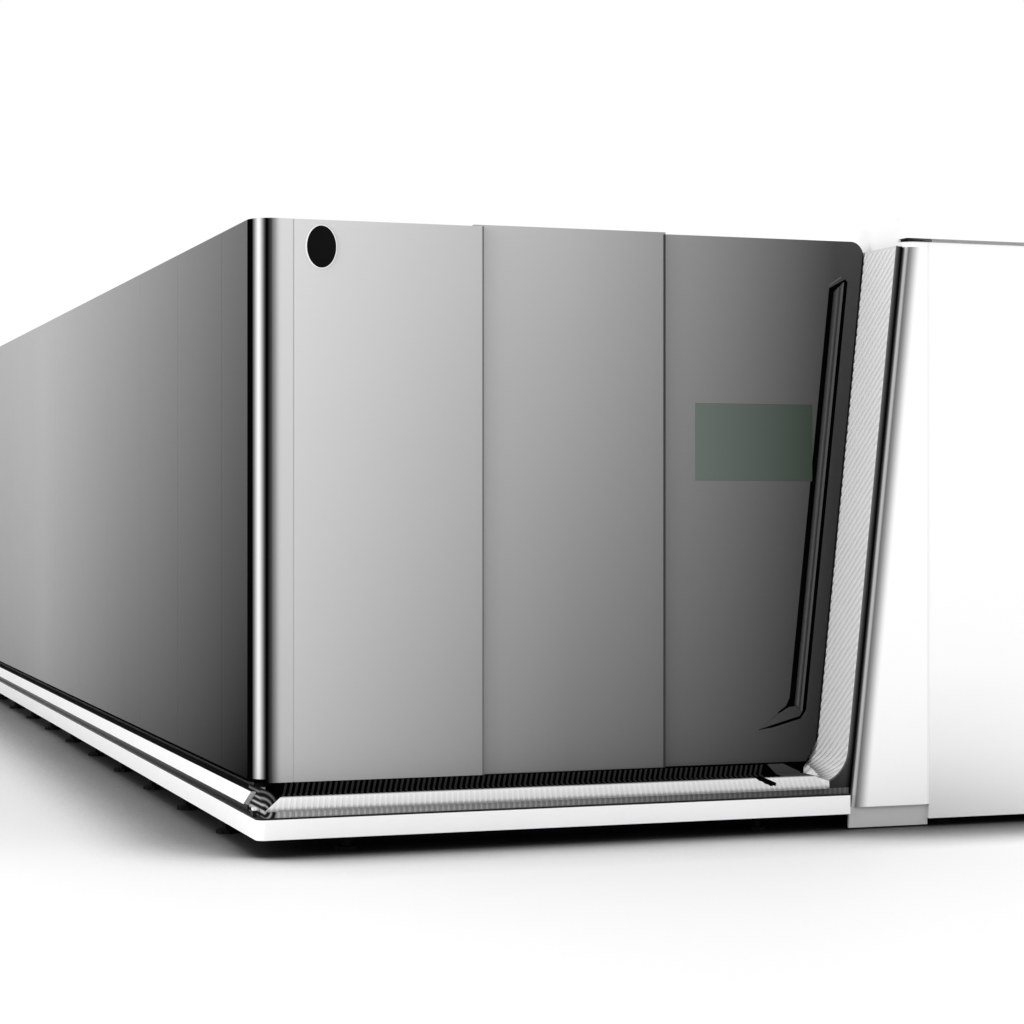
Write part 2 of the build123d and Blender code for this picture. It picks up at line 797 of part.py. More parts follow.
# Cutting bed: two box beams on cross members, with ledges for the shuttle rails
bed_y = (front_y + bed_front, front_y + bed_front + bed_length)
beam_in = table_half_width + table_side_gap
beam_out = beam_in + bed_beam_width
ledge_in = table_rail_offset - 30
rail_base = table_rail_top - 15
with BuildPart() as machine_bed:
    for side in (-1, 1):
        beam_x = sorted((middle_x + side * beam_in, middle_x + side * beam_out))
        block(beam_x, bed_y, (base_bottom, bed_beam_top))
        hollow_x = (beam_x[0] + 12, beam_x[1] - 12)
        block(hollow_x, bed_y, (base_bottom + 14, bed_beam_top - 20), mode=Mode.SUBTRACT)
        ledge_x = sorted((middle_x + side * ledge_in, middle_x + side * beam_in))
        block(ledge_x, bed_y, (rail_base - 30, rail_base))
        # ties to the base ring of the enclosure
        for y in (bed_y[0] + 400, bed_y[1] - 400):
            tie_end = left_x + 8 if side < 0 else (right_x if y < cabin_rear_y else right_x - 8)
            tie_x = sorted((middle_x + side * beam_out, tie_end))
            block(tie_x, (y, y + 60), (base_bottom + 30, base_bottom + 90))
    for y in (bed_y[0], (bed_y[0] + bed_y[1]) / 2 - 80, bed_y[1] - 160):
        member_z = (base_bottom + 42, base_bottom + 240)
        block((middle_x - beam_in, middle_x + beam_in), (y, y + 160), member_z)
finish(machine_bed, "machine_bed")

# Exchange frame behind the bed, which carries the shuttle rails to the loading zone
exchange_y = (bed_y[1], rear_y - exchange_end)
cross_width = 80
cross_pitch = (exchange_y[1] - exchange_y[0] - cross_width) / 3
exchange_crosses = [exchange_y[0] + number * cross_pitch for number in range(4)]
with BuildPart() as exchange_frame:
    for side in (-1, 1):
        beam_x = sorted((middle_x + side * ledge_in, middle_x + side * (table_rail_offset + 30)))
        block(beam_x, exchange_y, (rail_base - 60, rail_base))
        for y in exchange_crosses:
            block(beam_x, (y, y + cross_width), (base_bottom, rail_base))
    for y in exchange_crosses:
        cross_z = (base_bottom + 60, base_bottom + 140)
        block((middle_x - ledge_in, middle_x + ledge_in), (y, y + cross_width), cross_z)
finish(exchange_frame, "exchange_frame")

for side, word in ((-1, "left"), (1, "right")):
    rail_middle = middle_x + side * (beam_in + beam_out) / 2
    half = gantry_rail_size / 2
    with BuildPart() as gantry_rail:
        rail_z = (bed_beam_top, bed_beam_top + gantry_rail_size)
        block((rail_middle - half, rail_middle + half), bed_y, rail_z)
    finish(gantry_rail, f"gantry_rail_{word}")
    with BuildPart() as table_rail:
        x = middle_x + side * table_rail_offset
        rail_y = (bed_y[0] + 20, exchange_y[1] - 20)
        block((x - table_rail_width / 2, x + table_rail_width / 2), rail_y, (rail_base, table_rail_top))
    finish(table_rail, f"table_rail_{word}")

rack_size = 25
rack_in = (beam_in + beam_out) / 2 + 25
with BuildPart() as gantry_racks:
    for side in (-1, 1):
        x = sorted((middle_x + side * rack_in, middle_x + side * (rack_in + rack_size)))
        block(x, bed_y, (bed_beam_top, bed_beam_top + rack_size))
finish(gantry_racks, "gantry_racks")

# Gantry: a box beam on two foot plates, with bearing blocks over the rails
gantry_y = front_y + gantry_park
foot_bottom = 880
foot_plate = 25
beam_bottom = foot_bottom + foot_plate
rail_offset = (beam_in + beam_out) / 2
pinion_offset = rack_in + rack_size + pinion_radius + running_gap
pinion_y = gantry_y + beam_depth + 70
cross_rail = 20
cross_rail_z = (beam_bottom + 40, beam_bottom + beam_height - 40)
with BuildPart() as gantry_beam:
    beam_span = (middle_x - rail_offset - 160, middle_x + rail_offset + 160)
    beam_y = (gantry_y, gantry_y + beam_depth)
    block(beam_span, beam_y, (beam_bottom, beam_bottom + beam_height))
    block(
        beam_span,
        (beam_y[0] + beam_wall, beam_y[1] - beam_wall),
        (beam_bottom + beam_wall, beam_bottom + beam_height - beam_wall),
        mode=Mode.SUBTRACT,
    )
    for x in (beam_span[0], beam_span[1] - beam_wall):
        block((x, x + beam_wall), beam_y, (beam_bottom, beam_bottom + beam_height))
    for side in (-1, 1):
        x = middle_x + side * rail_offset
        plate_x = sorted((x - side * 45, middle_x + side * (pinion_offset + 50)))
        block(plate_x, (gantry_y - 60, gantry_y + beam_depth + 130), (foot_bottom, beam_bottom))
        for y in (gantry_y - 60, gantry_y + beam_depth + 10):
            block((x - 40, x + 40), (y, y + 120), (bed_beam_top + 10, foot_bottom))
            half = gantry_rail_size / 2 + running_gap
            block(
                (x - half, x + half),
                (y, y + 120),
                (bed_beam_top, bed_beam_top + gantry_rail_size + running_gap),
                mode=Mode.SUBTRACT,
            )
        rack_side = sorted((middle_x + side * (rack_in - 1), middle_x + side * (rack_in + rack_size + 1)))
        block(
            rack_side,
            (gantry_y - 60, gantry_y + beam_depth + 130),
            (bed_beam_top, bed_beam_top + rack_size + 1),
            mode=Mode.SUBTRACT,
        )
        upright(
            middle_x + side * pinion_offset,
            pinion_y,
            (foot_bottom, beam_bottom),
            shaft_radius + pin_clearance,
            mode=Mode.SUBTRACT,
        )
    for z in cross_rail_z:
        block(
            (middle_x - rail_offset, middle_x + rail_offset),
            (gantry_y - cross_rail, gantry_y),
            (z - cross_rail / 2, z + cross_rail / 2),
        )
finish(gantry_beam, "gantry_beam")

with BuildPart() as drive_motors:
    for side in (-1, 1):
        x = middle_x + side * pinion_offset
        block((x - 45, x + 45), (pinion_y - 45, pinion_y + 45), (beam_bottom, beam_bottom + 20))
        upright(x, pinion_y, (beam_bottom + 20, beam_bottom + 190), 42)
finish(drive_motors, "drive_motors")

for side, word in ((-1, "left"), (1, "right")):
    with BuildPart() as pinion:
        x = middle_x + side * pinion_offset
        upright(x, pinion_y, (bed_beam_top + 2, bed_beam_top + 26), pinion_radius)
        upright(x, pinion_y, (bed_beam_top + 26, beam_bottom - running_gap), shaft_radius)
    finish(pinion, f"pinion_{word}")

# Carriage on the beam, with the lifting cutting head on its dovetail
carriage_x = middle_x
carriage_width = 240
carriage_plate = 25
carriage_back = gantry_y - cross_rail - 18
dovetail_width = 60
dovetail_depth = 15
carriage_front = carriage_back - carriage_plate
with BuildPart() as carriage:
    plate_z = (beam_bottom + 10, beam_bottom + beam_height + 120)
    plate_x = (carriage_x - carriage_width / 2, carriage_x + carriage_width / 2)
    block(plate_x, (carriage_front, carriage_back), plate_z)
    for z in cross_rail_z:
        for x in (carriage_x - 80, carriage_x + 80):
            block((x - 30, x + 30), (carriage_back, gantry_y - 4), (z - 24, z + 24))
            half = cross_rail / 2 + running_gap
            block(
                (x - 30, x + 30),
                (gantry_y - cross_rail - running_gap, gantry_y),
                (z - half, z + half),
                mode=Mode.SUBTRACT,
            )
    block(
        (carriage_x - dovetail_width / 2, carriage_x + dovetail_width / 2),
        (carriage_front - dovetail_depth, carriage_front),
        plate_z,
    )
    # lift motor on a shelf above the beam
    motor_y = (carriage_back, carriage_back + 90)
    block((carriage_x - 45, carriage_x + 45), motor_y, (plate_z[1] - 20, plate_z[1] + 140))
finish(carriage, "carriage")

nozzle_tip = 880
head_radius = 42
slide_front = carriage_front - dovetail_depth - running_gap - 12
head_y = slide_front - head_radius + 6
with BuildPart() as cutting_head:
    slide_z = (beam_bottom + 60, beam_bottom + 300)
    block((carriage_x - 70, carriage_x + 70), (slide_front, carriage_front - running_gap), slide_z)
    block(
        (
            carriage_x - dovetail_width / 2 - running_gap,
            carriage_x + dovetail_width / 2 + running_gap,
        ),
        (carriage_front - dovetail_depth - running_gap, carriage_front),
        slide_z,
        mode=Mode.SUBTRACT,
    )
    with BuildSketch(Plane.XZ.offset(-head_y)) as head_profile:
        with BuildLine():
            Polyline(
                (carriage_x, nozzle_tip + 40),
                (carriage_x + 16, nozzle_tip + 40),
                (carriage_x + 30, nozzle_tip + 75),
                (carriage_x + 30, nozzle_tip + 110),
                (carriage_x + head_radius, nozzle_tip + 125),
                (carriage_x + head_radius, nozzle_tip + 340),
                (carriage_x + 26, nozzle_tip + 360),
                (carriage_x + 26, nozzle_tip + 440),
                (carriage_x, nozzle_tip + 440),
                close=True,
            )
        make_face()
    revolve(axis=Axis((carriage_x, head_y, 0), (0, 0, 1)))
finish(cutting_head, "cutting_head")

with BuildPart() as nozzle:
    with BuildSketch(Plane.XZ.offset(-head_y)):
        with BuildLine():
            Polyline(
                (carriage_x + 1.5, nozzle_tip),
                (carriage_x + 4, nozzle_tip),
                (carriage_x + 13, nozzle_tip + 26),
                (carriage_x + 13, nozzle_tip + 40),
                (carriage_x + 1.5, nozzle_tip + 40),
                close=True,
            )
        make_face()
    revolve(axis=Axis((carriage_x, head_y, 0), (0, 0, 1)))
finish(nozzle, "nozzle")

# Shuttle table: welded frame on two wheelsets, with sawtooth slats standing across it
table_y = (front_y + table_front, front_y + table_front + table_length)
table_top = table_bottom + table_height
member = 60
axle_z = table_rail_top + running_gap + wheel_radius
axle_y = (table_y[0] + 400, table_y[1] - 400)
slat_seat = table_bottom + 60
slat_half = table_half_width - 8
slat_count = int((table_length - 2 * member) / slat_pitch)
first_slat = (table_y[0] + table_y[1]) / 2 - (slat_count - 1) * slat_pitch / 2
with BuildPart() as shuttle_table:
    for side in (-1, 1):
        x = sorted((middle_x + side * (table_half_width - member), middle_x + side * table_half_width))
        block(x, table_y, (table_bottom, table_top))
        for y in axle_y:
            hanger_x = middle_x + side * (table_rail_offset - 35)
            block((hanger_x - 10, hanger_x + 10), (y - 40, y + 40), (axle_z - 30, table_bottom + 30))
    for y in (table_y[0], table_y[1] - member):
        table_x = (middle_x - table_half_width, middle_x + table_half_width)
        block(table_x, (y, y + member), (table_bottom, table_top))
    for y in (axle_y[0] - 50, (table_y[0] + table_y[1]) / 2 - 50, axle_y[1] - 50):
        block(
            (middle_x - table_half_width + member, middle_x + table_half_width - member),
            (y, y + 100),
            (table_bottom, slat_seat),
        )
    for y in axle_y:
        with Locations(Location((middle_x, y, axle_z), (0, 90, 0))):
            Cylinder(axle_radius + pin_clearance, 2 * table_half_width, mode=Mode.SUBTRACT)
    # comb notches that hold the slat ends
    with BuildSketch(Plane.XY.offset(slat_seat)):
        with Locations((middle_x, (table_y[0] + table_y[1]) / 2)):
            with GridLocations(1, slat_pitch, 1, slat_count):
                Rectangle(2 * slat_half + 2, slat_thickness + 1)
    extrude(amount=table_top - slat_seat, mode=Mode.SUBTRACT)
finish(shuttle_table, "shuttle_table")

with BuildPart() as support_slats:
    tooth = 2 * slat_half / slat_teeth
    tooth_depth = 30
    outline = [(middle_x - slat_half, slat_seat), (middle_x - slat_half, slat_seat + slat_height)]
    for number in range(slat_teeth):
        x = middle_x - slat_half + number * tooth
        outline.append((x + tooth / 2, slat_seat + slat_height - tooth_depth))
        outline.append((x + tooth, slat_seat + slat_height))
    outline.append((middle_x + slat_half, slat_seat))
    slat_fronts = [first_slat + number * slat_pitch - slat_thickness / 2 for number in range(slat_count)]
    with BuildSketch(*[Plane.XZ.offset(-y) for y in slat_fronts]):
        with BuildLine():
            Polyline(*outline, close=True)
        make_face()
    extrude(amount=-slat_thickness)
finish(support_slats, "support_slats")

for y, word in zip(axle_y, ("front", "rear")):
    with BuildPart() as wheelset:
        with Locations(Location((middle_x, y, axle_z), (0, 90, 0))):
            Cylinder(axle_radius, 2 * table_rail_offset + wheel_width)
        for side in (-1, 1):
            with Locations(Location((middle_x + side * table_rail_offset, y, axle_z), (0, 90, 0))):
                Cylinder(wheel_radius, wheel_width)
    finish(wheelset, f"wheelset_{word}")

# Rear loading doors: two trays hung on pins at the rear jambs
rear_door_depth = 30
rear_door_z = (panel_bottom + 5, frame_top - 5)
grip_z = (1000, 1260)
grip_reach = 26
for side, word in ((-1, "left"), (1, "right")):
    door_edge = rear_axis_x[side] - side * 2
    with BuildPart() as rear_door:
        door_x = sorted((door_edge, middle_x + side * 2))
        block(door_x, (rear_y - rear_door_depth, rear_y), rear_door_z)
        block(
            (door_x[0] + sheet_wall, door_x[1] - sheet_wall),
            (rear_y - rear_door_depth, rear_y - sheet_wall),
            (rear_door_z[0] + sheet_wall, rear_door_z[1] - sheet_wall),
            mode=Mode.SUBTRACT,
        )
        axis_x = rear_axis_x[side]
        for z in rear_hinges:
            knuckle_z = (z, z + hinge_height)
            block(sorted((axis_x, axis_x - side * 40)), (rear_y, rear_axis_y), knuckle_z)
            upright(axis_x, rear_axis_y, knuckle_z, hinge_radius)
            upright(axis_x, rear_axis_y, knuckle_z, pin_radius + pin_clearance, mode=Mode.SUBTRACT)
        # bow handle beside the meeting edge
        grip_x = sorted((middle_x + side * 60, middle_x + side * 80))
        block(grip_x, (rear_y, rear_y + grip_reach), grip_z)
        hollow_z = (grip_z[0] + 20, grip_z[1] - 20)
        block(grip_x, (rear_y, rear_y + grip_reach - 10), hollow_z, mode=Mode.SUBTRACT)
    finish(rear_door, f"rear_door_{word}")

# Levelling feet: a round pad under a hexagonal stem
pad_radius = 42
pad_height = 14
stem_radius = 16
foot_pitch = 740
foot_first = 490
foot_inset = 15
left_feet = int((enclosure_length - foot_first - foot_pitch / 4) / foot_pitch) + 1
feet = []
for number in range(left_feet):
    feet.append((left_x + foot_inset, front_y + foot_first + number * foot_pitch, base_bottom))
for number in range(4):
    y = cabin_rear_y + 300 + number * (rear_y - cabin_rear_y - 600) / 3
    feet.append((right_x - foot_inset, y, base_bottom))
for side in (-1, 1):
    for y in (bed_y[0] + 150, bed_y[1] - 150):
        feet.append((middle_x + side * rail_offset, y, base_bottom))
    for y in (exchange_crosses[1] + cross_width / 2, exchange_crosses[3] + cross_width / 2):
        feet.append((middle_x + side * table_rail_offset, y, base_bottom))
for x in (sill_left + 240, sill_right - 240):
    feet.append((x, sill_y + 120, base_bottom))
for x in (right_x + 100, cabin_x - 100):
    for y in (sill_y + 100, cabin_rear_y - 100):
        feet.append((x, y, cabin_foot))
with BuildPart() as levelling_feet:
    with BuildSketch():
        with Locations(*[(x, y) for x, y, top in feet]):
            RegularPolygon(pad_radius, 8)
    extrude(amount=pad_height)
    for level in (base_bottom, cabin_foot):
        with BuildSketch(Plane.XY.offset(pad_height)):
            with Locations(*[(x, y) for x, y, top in feet if top == level]):
                RegularPolygon(stem_radius, 6)
        extrude(amount=level - pad_height)
finish(levelling_feet, "levelling_feet")
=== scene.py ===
import math

import bmesh
import bpy
from mathutils import Matrix, Vector


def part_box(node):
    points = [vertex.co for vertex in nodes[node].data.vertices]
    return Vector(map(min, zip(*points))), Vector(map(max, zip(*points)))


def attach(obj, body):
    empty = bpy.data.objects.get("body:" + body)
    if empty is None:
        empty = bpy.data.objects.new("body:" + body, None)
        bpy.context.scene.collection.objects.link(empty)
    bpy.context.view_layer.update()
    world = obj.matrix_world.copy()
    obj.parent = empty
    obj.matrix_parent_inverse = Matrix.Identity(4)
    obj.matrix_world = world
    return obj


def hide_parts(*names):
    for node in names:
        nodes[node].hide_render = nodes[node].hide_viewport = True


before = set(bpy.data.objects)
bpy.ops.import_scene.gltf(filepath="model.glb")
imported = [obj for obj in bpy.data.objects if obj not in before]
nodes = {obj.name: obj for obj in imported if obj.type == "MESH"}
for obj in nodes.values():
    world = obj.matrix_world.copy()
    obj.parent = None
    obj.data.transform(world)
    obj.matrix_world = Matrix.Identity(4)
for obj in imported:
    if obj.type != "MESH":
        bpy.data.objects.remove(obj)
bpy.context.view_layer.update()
print("frame loaded:", len(nodes), "nodes")


# stations read from the solids, in metres
def low(name):
    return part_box(name)[0]


def high(name):
    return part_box(name)[1]


leftX = low("left_panel_02")[0]
frontY = low("fixed_door_panel")[1]
sillY = low("ribbed_jamb")[1]
doorFoot = low("fixed_door_panel")[2]
doorTop = high("fixed_door_panel")[2]
leanFoot = 2.191  # where the leaning door edge would meet the floor, from the left side
leanSlope = math.tan(math.radians(6.1))


def leanX(z):
    return leftX + leanFoot + z * leanSlope


def linkAll(tree, pairs):
    for source, target in pairs:
        tree.links.new(source, target)


def mathNode(tree, operation, first, second=None, clamp=False):
    node = tree.nodes.new("ShaderNodeMath")
    node.operation = operation
    node.use_clamp = clamp
    for socket, value in zip(node.inputs, (first, second)):
        if value is None:
            continue
        if isinstance(value, (int, float)):
            socket.default_value = value
        else:
            tree.links.new(value, socket)
    return node.outputs[0]


def mixColor(tree, factor, first, second, blend="MIX"):
    node = tree.nodes.new("ShaderNodeMix")
    node.data_type = "RGBA"
    node.blend_type = blend
    for socket, value in ((node.inputs[0], factor), (node.inputs[6], first), (node.inputs[7], second)):
        if isinstance(value, (int, float, tuple)):
            socket.default_value = value
        else:
            tree.links.new(value, socket)
    return node.outputs[2]


def spanNode(tree, value, start, end):
    # 0 at start, 1 at end
    node = tree.nodes.new("ShaderNodeMapRange")
    node.inputs["From Min"].default_value = start
    node.inputs["From Max"].default_value = end
    tree.links.new(value, node.inputs["Value"])
    return node.outputs["Result"]


def rampNode(tree, value, stops):
    node = tree.nodes.new("ShaderNodeValToRGB")
    ramp = node.color_ramp
    while len(ramp.elements) < len(stops):
        ramp.elements.new(0.5)
    for element, (place, level) in zip(ramp.elements, stops):
        element.position = place
        element.color = level if isinstance(level, tuple) else (level, level, level, 1)
    tree.links.new(value, node.inputs[0])
    return node.outputs[0]


def groupTree(name, inputs, outputs):
    tree = bpy.data.node_groups.new(name, "ShaderNodeTree")
    for label, kind, value in inputs:
        socket = tree.interface.new_socket(label, in_out="INPUT", socket_type=kind)
        if value is not None:
            socket.default_value = value
    for label, kind in outputs:
        tree.interface.new_socket(label, in_out="OUTPUT", socket_type=kind)
    return tree, tree.nodes.new("NodeGroupInput"), tree.nodes.new("NodeGroupOutput")


def groupNode(tree, group, values):
    node = tree.nodes.new("ShaderNodeGroup")
    node.node_tree = group
    for label, value in values.items():
        node.inputs[label].default_value = value
    return node


def noiseNode(tree, vector, scale, detail=2.0):
    node = tree.nodes.new("ShaderNodeTexNoise")
    node.inputs["Scale"].default_value = scale
    node.inputs["Detail"].default_value = detail
    tree.links.new(vector, node.inputs["Vector"])
    return node.outputs["Fac"]


def swungColor(tree, color, noise, share):
    # colour that a noise makes lighter and darker by a share
    swing = mathNode(tree, "MULTIPLY", mathNode(tree, "SUBTRACT", noise, 0.5), share)
    scaled = tree.nodes.new("ShaderNodeVectorMath")
    scaled.operation = "SCALE"
    linkAll(tree, [(color, scaled.inputs[0]), (mathNode(tree, "ADD", swing, 1.0), scaled.inputs["Scale"])])
    return scaled.outputs[0]


# fine texture of a sprayed powder coat, with a faint cloudiness in its colour
def buildPowderCoat():
    tree, given, out = groupTree(
        "powderCoat",
        [("Color", "NodeSocketColor", (0.8, 0.8, 0.8, 1)), ("Cloud", "NodeSocketFloat", 0.04)],
        [("Color", "NodeSocketColor"), ("Height", "NodeSocketFloat")],
    )
    place = tree.nodes.new("ShaderNodeTexCoord").outputs["Object"]
    cloud = noiseNode(tree, place, 1.7, 3.0)
    peel = noiseNode(tree, place, 650.0)
    color = swungColor(tree, given.outputs["Color"], cloud, given.outputs["Cloud"])
    linkAll(tree, [(color, out.inputs["Color"]), (peel, out.inputs["Height"])])
    return tree


# colour that runs along a wall and up it, from six tones: painted reflection and shade for the wall panels
def buildPaintedShadeSweep():
    tones = ["Low Start", "Low Middle", "Low End", "High Start", "High Middle", "High End"]
    tree, given, out = groupTree(
        "paintedShadeSweep",
        [("Along", "NodeSocketFloat", 0.0), ("Up", "NodeSocketFloat", 0.0)]
        + [(tone, "NodeSocketColor", (0.5, 0.5, 0.5, 1)) for tone in tones],
        [("Color", "NodeSocketColor")],
    )
    firstHalf = mathNode(tree, "MULTIPLY", given.outputs["Along"], 2.0, clamp=True)
    lastHalf = mathNode(tree, "SUBTRACT", mathNode(tree, "MULTIPLY", given.outputs["Along"], 2.0), 1.0, clamp=True)
    rows = []
    for row in ("Low", "High"):
        early = mixColor(tree, firstHalf, given.outputs[row + " Start"], given.outputs[row + " Middle"])
        rows.append(mixColor(tree, lastHalf, early, given.outputs[row + " End"]))
    tree.links.new(mixColor(tree, given.outputs["Up"], *rows), out.inputs["Color"])
    return tree


# drawn or ground metal: streaks along one axis
def buildGroundMetal():
    tree, given, out = groupTree(
        "groundMetal",
        [
            ("Color", "NodeSocketColor", (0.6, 0.6, 0.6, 1)),
            ("Stretch", "NodeSocketVector", (40, 1, 40)),
            ("Streak", "NodeSocketFloat", 0.25),
        ],
        [("Color", "NodeSocketColor"), ("Roughness Mask", "NodeSocketFloat"), ("Height", "NodeSocketFloat")],
    )
    place = tree.nodes.new("ShaderNodeTexCoord").outputs["Object"]
    stretched = tree.nodes.new("ShaderNodeVectorMath")
    stretched.operation = "MULTIPLY"
    linkAll(tree, [(place, stretched.inputs[0]), (given.outputs["Stretch"], stretched.inputs[1])])
    streaks = noiseNode(tree, stretched.outputs[0], 6.0, 4.0)
    stains = noiseNode(tree, place, 2.3)
    color = swungColor(tree, given.outputs["Color"], streaks, given.outputs["Streak"])
    linkAll(tree, [
        (color, out.inputs["Color"]), (stains, out.inputs["Roughness Mask"]), (streaks, out.inputs["Height"]),
    ])
    return tree


powderCoat = buildPowderCoat()
paintedShadeSweep = buildPaintedShadeSweep()
groundMetal = buildGroundMetal()


def newMaterial(name, roughness, metallic=0.0, specular=0.5):
    material = bpy.data.materials.new(name)
    material.use_nodes = True
    tree = material.node_tree
    shader = tree.nodes["Principled BSDF"]
    shader.inputs["Roughness"].default_value = roughness
    shader.inputs["Metallic"].default_value = metallic
    shader.inputs["Specular IOR Level"].default_value = specular
    return material, tree, shader


def placeNode(tree):
    node = tree.nodes.new("ShaderNodeTexCoord")
    split = tree.nodes.new("ShaderNodeSeparateXYZ")
    tree.links.new(node.outputs["Object"], split.inputs[0])
    return split.outputs[0], split.outputs[1], split.outputs[2]


def addBump(tree, shader, height, strength, distance):
    bump = tree.nodes.new("ShaderNodeBump")
    bump.inputs["Strength"].default_value = strength
    bump.inputs["Distance"].default_value = distance
    linkAll(tree, [(height, bump.inputs["Height"]), (bump.outputs[0], shader.inputs["Normal"])])


def grey(level):
    # a written screen level, 0 to 255, as a linear colour
    linear = ((level / 255 + 0.055) / 1.055) ** 2.4 if level > 10 else level / 3294
    return (linear, linear, linear, 1)


def greyRamp(tree, value, stops):
    # stops are a place and a screen level
    return rampNode(tree, value, [(place, grey(level)) for place, level in stops])


def bandMask(tree, value, start, end):
    # 1 between two levels, 0 outside them
    above = mathNode(tree, "GREATER_THAN", value, start)
    below = mathNode(tree, "LESS_THAN", value, end)
    return mathNode(tree, "MULTIPLY", above, below)


def coatedPaint(name, color, roughness, cloud, specular):
    # sprayed coat of one colour, or without one, of whatever is linked to the socket it returns
    material, tree, shader = newMaterial(name, roughness, specular=specular)
    group = groupNode(tree, powderCoat, {"Cloud": cloud})
    if color:
        group.inputs["Color"].default_value = color
    tree.links.new(group.outputs["Color"], shader.inputs["Base Color"])
    addBump(tree, shader, group.outputs["Height"], strength=0.12, distance=0.0004)
    return material, tree, group.inputs["Color"]


def plainCoat(name, level, roughness, cloud, specular=0.0):
    return coatedPaint(name, grey(level), roughness, cloud, specular)[0]


def shadedCoat(name, tone, roughness, cloud=0.03, specular=0.0):
    # sprayed coat whose colour a function works out from the place
    material, tree, color = coatedPaint(name, None, roughness, cloud, specular)
    tree.links.new(tone(tree, *placeNode(tree)), color)
    return material


def acrossLean(tree, x, z):
    # distance to the right of the leaning door edge
    lean = mathNode(tree, "MULTIPLY", z, leanSlope)
    return mathNode(tree, "SUBTRACT", x, mathNode(tree, "ADD", lean, leftX + leanFoot))


# where the painted shade and highlights of the seal, the grip and the pillar change, to the right of the leaning door
# edge
leanSpans = {"seal": (0.008, 0.038), "grip": (-0.106, -0.075), "pillar": (0.038, 0.138)}

# screen levels of the painted reflection and shade at the lower and upper corners and the middle of the front and of
# the left wall
frontShadeTones = {
    "Low Start": 185, "Low Middle": 118, "Low End": 36,
    "High Start": 210, "High Middle": 170, "High End": 70,
}
sideShadeTones = {
    "Low Start": 1, "Low Middle": 101, "Low End": 153,
    "High Start": 96, "High Middle": 145, "High End": 177,
}
frontSpan = (leftX + 0.1, leftX + 2.3)
sideSpan = (frontY, frontY + 5.2)
wallSpan = (doorFoot, doorTop)
# painted shade on the left wall: how its gradient bends up the wall, and the dark band at the foot of the panels
sideShade = {"curve": 0.8, "below": 0.001, "above": 0.009, "level": 3}
leafY = low("door_leaf_front")[1]
# painted shade on the front leaf: black in the recess behind its face, and dark past the leaning edge
leafRecessShade = {"near": 0.003, "far": 0.0135, "level": 6, "edge": -0.007, "edgeLevel": 20}


def sweptTone(tree, tones, along, up):
    sweep = groupNode(tree, paintedShadeSweep, {label: grey(level) for label, level in tones.items()})
    linkAll(tree, [(along, sweep.inputs["Along"]), (up, sweep.inputs["Up"])])
    return sweep.outputs["Color"]


def frontTone(tree, x, y, z):
    # painted reflection and shade across the front doors, lighter at the upper left
    return sweptTone(tree, frontShadeTones, spanNode(tree, x, *frontSpan), spanNode(tree, z, *wallSpan))


def leafTone(tree, x, y, z):
    # the front's painted reflection and shade, with painted shade dark behind the face, in the recess of the grip, and
    # past the leaning edge
    data = leafRecessShade
    behind = bandMask(tree, y, leafY + data["near"], leafY + data["far"])
    tone = mixColor(tree, behind, frontTone(tree, x, y, z), grey(data["level"]))
    pastEdge = mathNode(tree, "GREATER_THAN", acrossLean(tree, x, z), data["edge"])
    return mixColor(tree, pastEdge, tone, grey(data["edgeLevel"]))


def sideTone(tree, x, y, z):
    # painted reflection and shade along the wall and up it, and a dark line of painted shade at the foot of the wall,
    # in the gap under the panels
    data = sideShade
    up = mathNode(tree, "POWER", spanNode(tree, z, *wallSpan), data["curve"])
    tone = sweptTone(tree, sideShadeTones, spanNode(tree, y, *sideSpan), up)
    foot = bandMask(tree, z, doorFoot - data["below"], doorFoot + data["above"])
    return mixColor(tree, foot, tone, grey(data["level"]))


def sealTone(tree, x, y, z):
    # door seal of dark grey rubber, with painted shade where it darkens into the gap beside the pillar and towards its
    # foot
    across = spanNode(tree, acrossLean(tree, x, z), *leanSpans["seal"])
    tone = greyRamp(tree, across, [(0.0, 96), (0.35, 80), (0.6, 52), (0.8, 12), (1.0, 4)])
    foot = rampNode(tree, spanNode(tree, z, 0.16, 0.32), [(0.0, 0.25), (0.5, 0.5), (1.0, 1.0)])
    return mixColor(tree, 1.0, tone, foot, "MULTIPLY")


# inner frame: mid grey, and black painted shade where it shows in the gap under the wall panels
frameShade = {"level": 128, "gap": 0.03, "gapLevel": 5}


def frameTone(tree, x, y, z):
    inGap = mathNode(tree, "LESS_THAN", z, doorFoot + frameShade["gap"])
    return mixColor(tree, inGap, grey(frameShade["level"]), grey(frameShade["gapLevel"]))


# heights of the two white bands of the base and of the groove between them, and their screen levels; the groove's
# darkness is painted shade, deepest at the front, and the black above the bands is painted shade in the gap under the
# panels
baseBands = {
    "grooveFoot": 0.130, "grooveTop": 0.155, "bandTop": 0.2145, "length": 5.0,
    "grooveShadeNear": 28, "grooveShadeFar": 100, "white": 253, "gapShade": 5,
}


def bandTone(tree, x, y, z):
    data = baseBands
    # painted shade in the groove, and black painted shade in the gap above the bands
    groove = bandMask(tree, z, data["grooveFoot"], data["grooveTop"])
    along = spanNode(tree, y, frontY, frontY + data["length"])
    dark = mixColor(tree, along, grey(data["grooveShadeNear"]), grey(data["grooveShadeFar"]))
    tone = mixColor(tree, groove, grey(data["white"]), dark)
    underPanels = mathNode(tree, "GREATER_THAN", z, data["bandTop"])
    return mixColor(tree, underPanels, tone, grey(data["gapShade"]))


# line where the ribbed jamb meets its plain toe, rising towards the back, and the screen levels there, with painted
# shade on the ribs just above it
toeMitre = {"foot": 0.181, "rise": 0.152, "shade": 0.035, "level": 250, "edgeLevel": 92}


